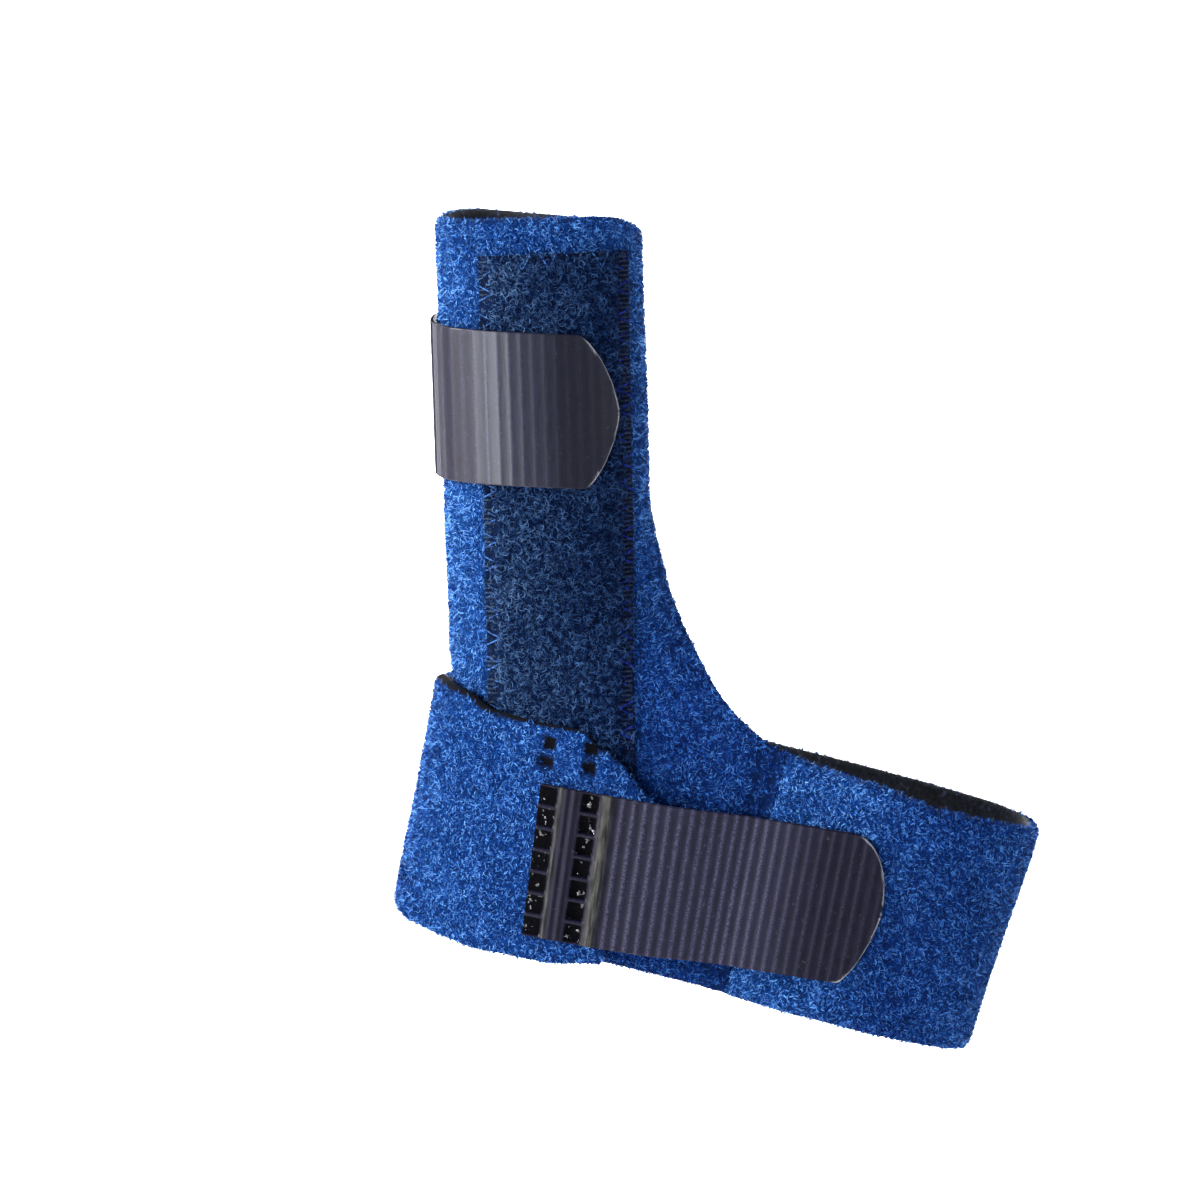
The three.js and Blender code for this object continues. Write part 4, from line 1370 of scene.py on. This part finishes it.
def band_with_marks(lump):
    """The band's sheet with the pits over the palm strap, and the marks its material and nap read."""
    sheet, turn, place = band_sheet()
    add_lumps(sheet, lump)
    c, s = math.cos(PALM_STRAP_TURN), math.sin(PALM_STRAP_TURN)
    arm = np.where(turn > 0.5, turn - 1, turn) * hand_girth - PALM_STRAP_START
    length = arm * c + (place - PALM_STRAP_RISE) * s
    over = (place - PALM_STRAP_RISE) * c - arm * s
    dents, bare = np.zeros_like(length), np.zeros_like(length)
    for pit in FLAP_PITS:
        ahead = length - pit["file"] - FLAP_PIT["shift"]
        above = over - TAPE_WIDTH / 2 - pit["over_strap"]
        dent, around = (
            bump(ahead, 0, size["half"], size["soft"]) * bump(above, 0, size["half"], size["soft"])
            for size in (FLAP_PIT, FLAP_PIT_BARE)
        )
        dents, bare = np.maximum(dents, dent), np.maximum(bare, around)
    dents, bare = dents * (turn > 0.8), bare * (turn > 0.8)
    sheet.high = sheet.high - FLAP_PIT["depth"] * dents
    from_top = read_table(BAND, "turn", "top", turn) * BAND_WIDTH / 2 - place
    # A dark band bare of nap along the flap's top edge: partly the dark foam of the cut edge, partly painted
    # shade of the gap behind that edge.
    ragged = 0.35 * unevenness(sheet.base, 1.2, 3.0)
    on_flap = smooth((turn - 0.74) / 0.02) * smooth((0.925 - turn) / 0.02)
    foam_and_shade_width = mix(1.0, 0.4, smooth((turn - 0.8) / 0.1))
    foam_edge_and_painted_shade = on_flap * smooth((foam_and_shade_width + ragged - from_top) / 0.25)
    by_seam = bump(turn, 0.06, 0.035, 0.06)
    after_seam = bump(turn, 0.16, 0.035, 0.06)
    tone = (0.96 + 0.25 * by_seam - 0.25 * after_seam) * patchy(sheet)
    strap_half = tip_half(length, PALM_STRAP_LENGTH, PALM_TIP, over)
    hidden = smooth((strap_half - 0.8 - np.abs(over)) / 0.5) * smooth((length - 0.8) / 0.5)
    hidden = hidden * smooth((PALM_STRAP_LENGTH - 0.8 - length) / 0.5)
    nap = (1 - bare) * (1 - foam_edge_and_painted_shade) * (1 - hidden)
    return sheet, {"pressed": 0 * dents, "weld": dents, "foam_edge_and_painted_shade": foam_edge_and_painted_shade, "nap": nap, "tone": tone}


class SPLINT_OT_cloth(bpy.types.Operator):
    """Builds the sleeve with its palm panel and the band, of padded cloth with a dark lining"""
    bl_idname = "splint.cloth"
    bl_label = "Padded cloth"

    def execute(self, context):
        sizes = context.scene.splint_cloth
        pile_group()
        speckle_group()
        colour, light = tuple(sizes.cloth_colour), tuple(sizes.fibre_colour)
        face = pile_material("blue_pile", colour, light, 1500.0, 1.2, marked=True)
        lining = lining_material(tuple(sizes.lining_colour))
        lump = sizes.lump_height / MM

        sleeve, marks = sleeve_with_marks(lump)
        piece = link(sleeve.mesh("sleeve_cloth", **marks), "sleeve_cloth", face, lining)
        keep(piece, "blue_cloth", "sleeve_panel")

        band, marks = band_with_marks(lump)
        piece = link(band.mesh("band_cloth", **marks), "band_cloth", face, lining)
        keep(piece, "blue_cloth", "hand_band")
        return {"FINISHED"}


class SPLINT_OT_nap(bpy.types.Operator):
    """Grows short fibres on the cloth's outer face"""
    bl_idname = "splint.nap"
    bl_label = "Nap"

    def execute(self, context):
        sizes = context.scene.splint_cloth
        tree = nap_tree("Nap", blade, 1)
        fibres = fibre_material(
            "blue_fibres", tuple(sizes.cloth_colour), tuple(sizes.fibre_colour), marked=True
        )
        for source, name, seed in (("sleeve_cloth", "sleeve_nap", 3), ("band_cloth", "band_nap", 7)):
            cloth = bpy.data.objects[source]
            values = {
                "Density": sizes.nap_per_area / MM**2,
                "Length": sizes.nap_length,
                "Width": sizes.nap_width,
                "Bend": 0.3,
                "Lean Min": 1.1,
                "Lean Max": 1.55,
                "Tuft Size": 2 * MM,
                "Seed": seed,
                "Material": fibres,
            }
            piece = grown(cloth, tree, name, values)
            keep(piece, "blue_cloth")
        return {"FINISHED"}


class SPLINT_OT_strip(bpy.types.Operator):
    """Builds the loop strip, its curly pile and the zigzag thread that holds it"""
    bl_idname = "splint.strip"
    bl_label = "Loop strip"

    def execute(self, context):
        sizes = context.scene.splint_strip
        pile = pile_material(
            "navy_pile", tuple(sizes.pile_colour), tuple(sizes.loop_colour), 1300.0, 2.5, marked=True
        )
        sheet, depth = strip_sheet()
        covered = np.maximum(under_finger_strap(sheet.base), under_flap(sheet.base))
        wear_and_painted_light = smooth((unevenness(sheet.base, 2.6, 9.0) + 0.1) / 0.5)
        nap = np.maximum(depth, 0.4 * wear_and_painted_light) * (sheet.fullness > 0.5) * (1 - covered)
        at = (sheet.base[..., 0] - STRIP_LEFT) / (STRIP_RIGHT - STRIP_LEFT)
        # The tone is painted shade: the strip darkens towards its right side, away from the light, with
        # random patches.
        tone = (1.15 - 0.5 * smooth(at)) * (1 + 0.2 * unevenness(sheet.base, 6.0, 2.0))
        mesh = sheet.mesh("loop_tape", nap=nap, tone=tone)
        piece = link(mesh, "loop_tape", pile, pile)
        keep(piece, "navy_loop", "loop_strip")

        loops = fibre_material("navy_loops", tuple(sizes.pile_colour), tuple(sizes.loop_colour), marked=True)
        values = {
            "Density": sizes.loops_per_area / MM**2,
            "Length": sizes.loop_length,
            "Width": sizes.loop_width,
            "Bend": 1.0,
            "Lean Min": 1.15,
            "Lean Max": 1.6,
            "Tuft Size": 0.5 * MM,
            "Seed": 11,
            "Material": loops,
        }
        curls = grown(piece, nap_tree("Loops", curl, 4), "loop_tape_pile", values)
        keep(curls, "navy_loop")

        self.sew(sizes)
        return {"FINISHED"}

    def sew(self, sizes):
        """The V stitches along the strip's sides and top, and the bare weft between them."""
        pitch, depth = sizes.stitch_pitch / MM, sizes.stitch_depth / MM
        share = np.linspace(0, 1, 7)
        left, right, pale_bars, dark_bars = [], [], [], []
        for edge, inward, stitches in ((STRIP_LEFT, 1, left), (STRIP_RIGHT, -1, right)):
            for n, z in enumerate(np.arange(STRIP_TOP - 2.2, 22, -pitch)):
                slip = 0.3 * math.sin(n * 2.3)
                sunk = 0.25 * max(0, math.sin(n * 1.9 + 1))
                for way in (1, -1):
                    x = edge + inward * (depth * share + 0.1)
                    lift = GAP + 0.5 - sunk + 0.16 * np.sin(share * math.pi) + 0.1 * share
                    stitches.append(self.on_strip(x, z + slip + way * (1 - share) * pitch * 0.3, lift))
        for n, x in enumerate(np.arange(STRIP_LEFT + 2.6, STRIP_RIGHT - 1.5, pitch * 1.03)):
            sunk = 0.5 * max(0, math.sin(n * 2.1 + 2))
            for way in (1, -1):
                z = STRIP_TOP - 0.1 - depth * share
                left.append(
                    self.on_strip(
                        x + way * (1 - share) * pitch * 0.3, z, GAP + 0.6 + (0.75 - sunk) * np.sqrt(share)
                    )
                )
        for n, z in enumerate(np.arange(STRIP_TOP - 0.9, 22, -sizes.weft_pitch / MM)):
            beside = ((STRIP_TOP - 2.2 - z) / pitch + 0.5) % 1
            flat = GAP + 0.5 + 0.03 * np.array([0, 1, 1, 0])
            if 0.15 < beside < 0.85 and math.sin(n * 0.37) > -0.6:
                x = STRIP_LEFT + np.linspace(0.15, 1.5 + 0.3 * math.sin(n * 1.7), 4)
                pale_bars.append(self.on_strip(x, z + 0 * x, flat))
            x = STRIP_RIGHT - np.linspace(0.2, 1.2 + 1.5 * abs(2 * beside - 1) + 0.3 * math.sin(n * 2.9), 4)
            dark_bars.append(self.on_strip(x, z + 0 * x, flat))
        thread, blue = tuple(sizes.thread_colour), tuple(sizes.blue_thread_colour)
        weft, dark = tuple(sizes.weft_colour), tuple(sizes.dark_weft_colour)
        for lines, name, radius, colour in (
            (left, "pale_zigzag", sizes.thread_radius, thread),
            (right, "blue_zigzag", sizes.thread_radius, blue),
            (pale_bars, "pale_weft", sizes.weft_radius, weft),
            (dark_bars, "dark_weft", sizes.weft_radius, dark),
        ):
            path = path_object(name + "_path", lines)
            sewn = grown(
                path,
                thread_tree(),
                name,
                {"Radius": radius, "Material": thread_material(name + "_thread", colour)},
            )
            bpy.data.objects.remove(path)
            keep(sewn, "navy_loop")

    def on_strip(self, x, z, lift):
        return front_point(x + STRIP_LEAN * (z - PALM_HEIGHT), z, lift)[0]


class SPLINT_OT_straps(bpy.types.Operator):
    """Builds the two ribbed hook straps with the pits and ridges of their welds"""
    bl_idname = "splint.straps"
    bl_label = "Hook straps"

    def execute(self, context):
        sizes = context.scene.splint_straps
        colour, rim = tuple(sizes.strap_colour), tuple(sizes.rim_colour)
        hooks = hook_material(colour)
        palm_tape = strap_material("palm_hook_tape", colour, rim, 0.95, 0.36, 0.0, 0.25)
        finger_tape = strap_material("finger_hook_tape", colour, rim, 0.4, 0.34, 0.84, 0.36)
        # light_from, dark_end and dark_run place each strap's painted shade.
        palm_look = {"rib_height": 0.12, "rib_width": 0.33, "light_from": 13, "dark_end": 19, "dark_run": 10}
        finger_look = {"rib_height": 0.06, "rib_width": 0.36, "light_from": finger_strap_length - 28,
                       "dark_end": 13.5, "dark_run": 5}
        for name, surface, total, tip, look, tape, cad in (
            (
                "palm_hook_strap",
                palm_strap_surface,
                PALM_STRAP_LENGTH,
                PALM_TIP,
                palm_look,
                palm_tape,
                "palm_strap",
            ),
            (
                "finger_hook_strap",
                finger_strap_surface,
                finger_strap_length,
                FINGER_TIP,
                finger_look,
                finger_tape,
                "finger_strap",
            ),
        ):
            sheet, marks = strap_sheet(surface, total, tip, **look)
            piece = link(sheet.mesh(name, **marks), name, tape, hooks)
            keep(piece, "hook_plastic", cad)
        return {"FINISHED"}


# The stage, in metres around the splint's middle
STAGE_MIDDLE = Vector((-0.0169, 0, 0.0433))
VIEW_WIDTH = 0.195  # what the picture spans at the splint
SENSOR_WIDTH = 36
COOL, WARM, WHITE = (0.9, 0.95, 1), (1, 0.97, 0.91), (1, 1, 1)
LIGHTS = [
    {"name": "key_light", "spot": (-1.1, -0.36, 0.5), "size": (0.5, 0.5), "power": 32.5, "colour": WARM},
    {"name": "front_light", "spot": (-0.52, -1.02, 0.05), "size": (0.4, 0.6), "power": 7.5, "colour": COOL},
    {"name": "right_light", "spot": (1.0, -0.5, 0.35), "size": (0.8, 0.8), "power": 3.5, "colour": COOL},
    {"name": "back_light", "spot": (0.5, 0.35, 0.9), "size": (0.5, 0.5), "power": 5.0, "colour": COOL},
    {"name": "backdrop_light", "spot": (0, 0.45, 0.75), "aim": (0, 1.1, -0.05), "size": (0.8, 0.5),
     "power": 30.0, "colour": WHITE, "spread": math.radians(110)},
]


class SPLINT_OT_stage(bpy.types.Operator):
    """Sets the pale floor and backdrop, the soft lights and the camera"""
    bl_idname = "splint.stage"
    bl_label = "Stage"

    def execute(self, context):
        sizes = context.scene.splint_stage
        context.scene.view_settings.view_transform = "Standard"
        self.backdrop(sizes)
        self.sky(context)
        for light in LIGHTS:
            self.light(context, light)
        self.camera(context, sizes)
        return {"FINISHED"}

    def backdrop(self, sizes):
        """A floor that curves up into a wall behind the splint."""
        low = cad_box[0][2] - sizes.floor_drop
        profile = [(-1.6, 0.0), (0.5, 0.0)]
        profile += [
            (0.5 + 0.6 * math.sin(a), 0.6 * (1 - math.cos(a))) for a in np.linspace(0.08, math.pi / 2, 24)
        ]
        profile.append((1.1, 2.6))
        points, quads = [], []
        for n, (y, z) in enumerate(profile):
            points += [(-2.2, y, low + z), (2.2, y, low + z)]
            if n:
                quads.append((2 * n - 2, 2 * n - 1, 2 * n + 1, 2 * n))
        mesh = bpy.data.meshes.new("floor_and_backdrop")
        mesh.from_pydata(points, [], quads)
        mesh.polygons.foreach_set("use_smooth", [True] * len(quads))
        material, tree, shader, coordinates = new_material("pale_paper")
        tone = cloud(tree, coordinates.outputs["Object"], 3.0, 2.0)
        floor = tuple(sizes.floor_colour)
        tree.links.new(colour_mix(tree, tone, shade(floor, 0.99), (*floor, 1)), shader.inputs["Base Color"])
        shader.inputs["Roughness"].default_value = 0.9
        floor_piece = link(mesh, "floor_and_backdrop", material)

    def sky(self, context):
        """Weak bluish light from all sides, behind which the camera sees plain pale grey."""
        world = bpy.data.worlds.new("soft_white")
        context.scene.world = world
        world.use_nodes = True
        tree = world.node_tree
        fill = tree.nodes["Background"]
        fill.inputs["Color"].default_value = (0.8, 0.92, 1.2, 1)
        fill.inputs["Strength"].default_value = 0.16
        seen = node(tree, "ShaderNodeBackground", {"Color": (0.93, 0.93, 0.94, 1), "Strength": 1.0})
        to_camera = node(tree, "ShaderNodeLightPath").outputs["Is Camera Ray"]
        both = node(tree, "ShaderNodeMixShader", {0: to_camera, 1: fill.outputs[0], 2: seen.outputs[0]})
        tree.links.new(both.outputs[0], tree.nodes["World Output"].inputs["Surface"])

    def light(self, context, look):
        lamp = bpy.data.lights.new(look["name"], "AREA")
        lamp.shape = "ELLIPSE"
        lamp.size, lamp.size_y = look["size"]
        lamp.energy, lamp.color = look["power"], look["colour"]
        lamp.spread = look.get("spread", math.pi)
        light = bpy.data.objects.new(look["name"], lamp)
        context.scene.collection.objects.link(light)
        spot, aim = Vector(look["spot"]), Vector(look.get("aim", (0, 0, 0)))
        light.location = STAGE_MIDDLE + spot
        light.rotation_euler = (aim - spot).to_track_quat("-Z", "Y").to_euler()

    def camera(self, context, sizes):
        lens = bpy.data.cameras.new("camera")
        lens.sensor_width = SENSOR_WIDTH
        lens.lens = SENSOR_WIDTH * sizes.camera_distance / VIEW_WIDTH
        camera = bpy.data.objects.new("camera", lens)
        context.scene.collection.objects.link(camera)
        tilt, roll = sizes.camera_elevation, sizes.camera_roll
        ahead = Vector((0, math.cos(tilt), -math.sin(tilt)))
        right = Vector((1, 0, 0))
        up = right.cross(ahead)
        side = right * math.cos(roll) + up * math.sin(roll)
        top = up * math.cos(roll) - right * math.sin(roll)
        turn = Matrix((side, top, -ahead)).transposed().to_4x4()
        camera.matrix_world = Matrix.Translation(STAGE_MIDDLE - ahead * sizes.camera_distance) @ turn
        context.scene.camera = camera


class SPLINT_PT_panel(bpy.types.Panel):
    """Lists the splint's pieces in the order they are built"""
    bl_idname = "SPLINT_PT_panel"
    bl_label = "Finger splint"
    bl_space_type = "VIEW_3D"
    bl_region_type = "UI"
    bl_category = "Splint"

    def draw(self, context):
        for group in ("splint_cloth", "splint_strip", "splint_straps", "splint_stage"):
            box = self.layout.box()
            settings = getattr(context.scene, group)
            for name in settings.bl_rna.properties.keys():
                if name not in ("rna_type", "name"):
                    box.prop(settings, name)
        for operator in OPERATORS:
            self.layout.operator(operator.bl_idname)


GROUPS = {
    "splint_cloth": SplintCloth,
    "splint_strip": SplintStrip,
    "splint_straps": SplintStraps,
    "splint_stage": SplintStage,
}
OPERATORS = (SPLINT_OT_cloth, SPLINT_OT_nap, SPLINT_OT_strip, SPLINT_OT_straps, SPLINT_OT_stage)


def register():
    for kind in (*GROUPS.values(), *OPERATORS, SPLINT_PT_panel):
        bpy.utils.register_class(kind)
    for name, kind in GROUPS.items():
        setattr(bpy.types.Scene, name, bpy.props.PointerProperty(type=kind))


def unregister():
    for name in GROUPS:
        delattr(bpy.types.Scene, name)
    for kind in (SPLINT_PT_panel, *reversed(OPERATORS), *reversed(GROUPS.values())):
        bpy.utils.unregister_class(kind)


def main():
    register()
    bpy.ops.splint.cloth()
    bpy.ops.splint.nap()
    bpy.ops.splint.strip()
    bpy.ops.splint.straps()
    bpy.ops.splint.stage()


if __name__ == "__main__":
    main()
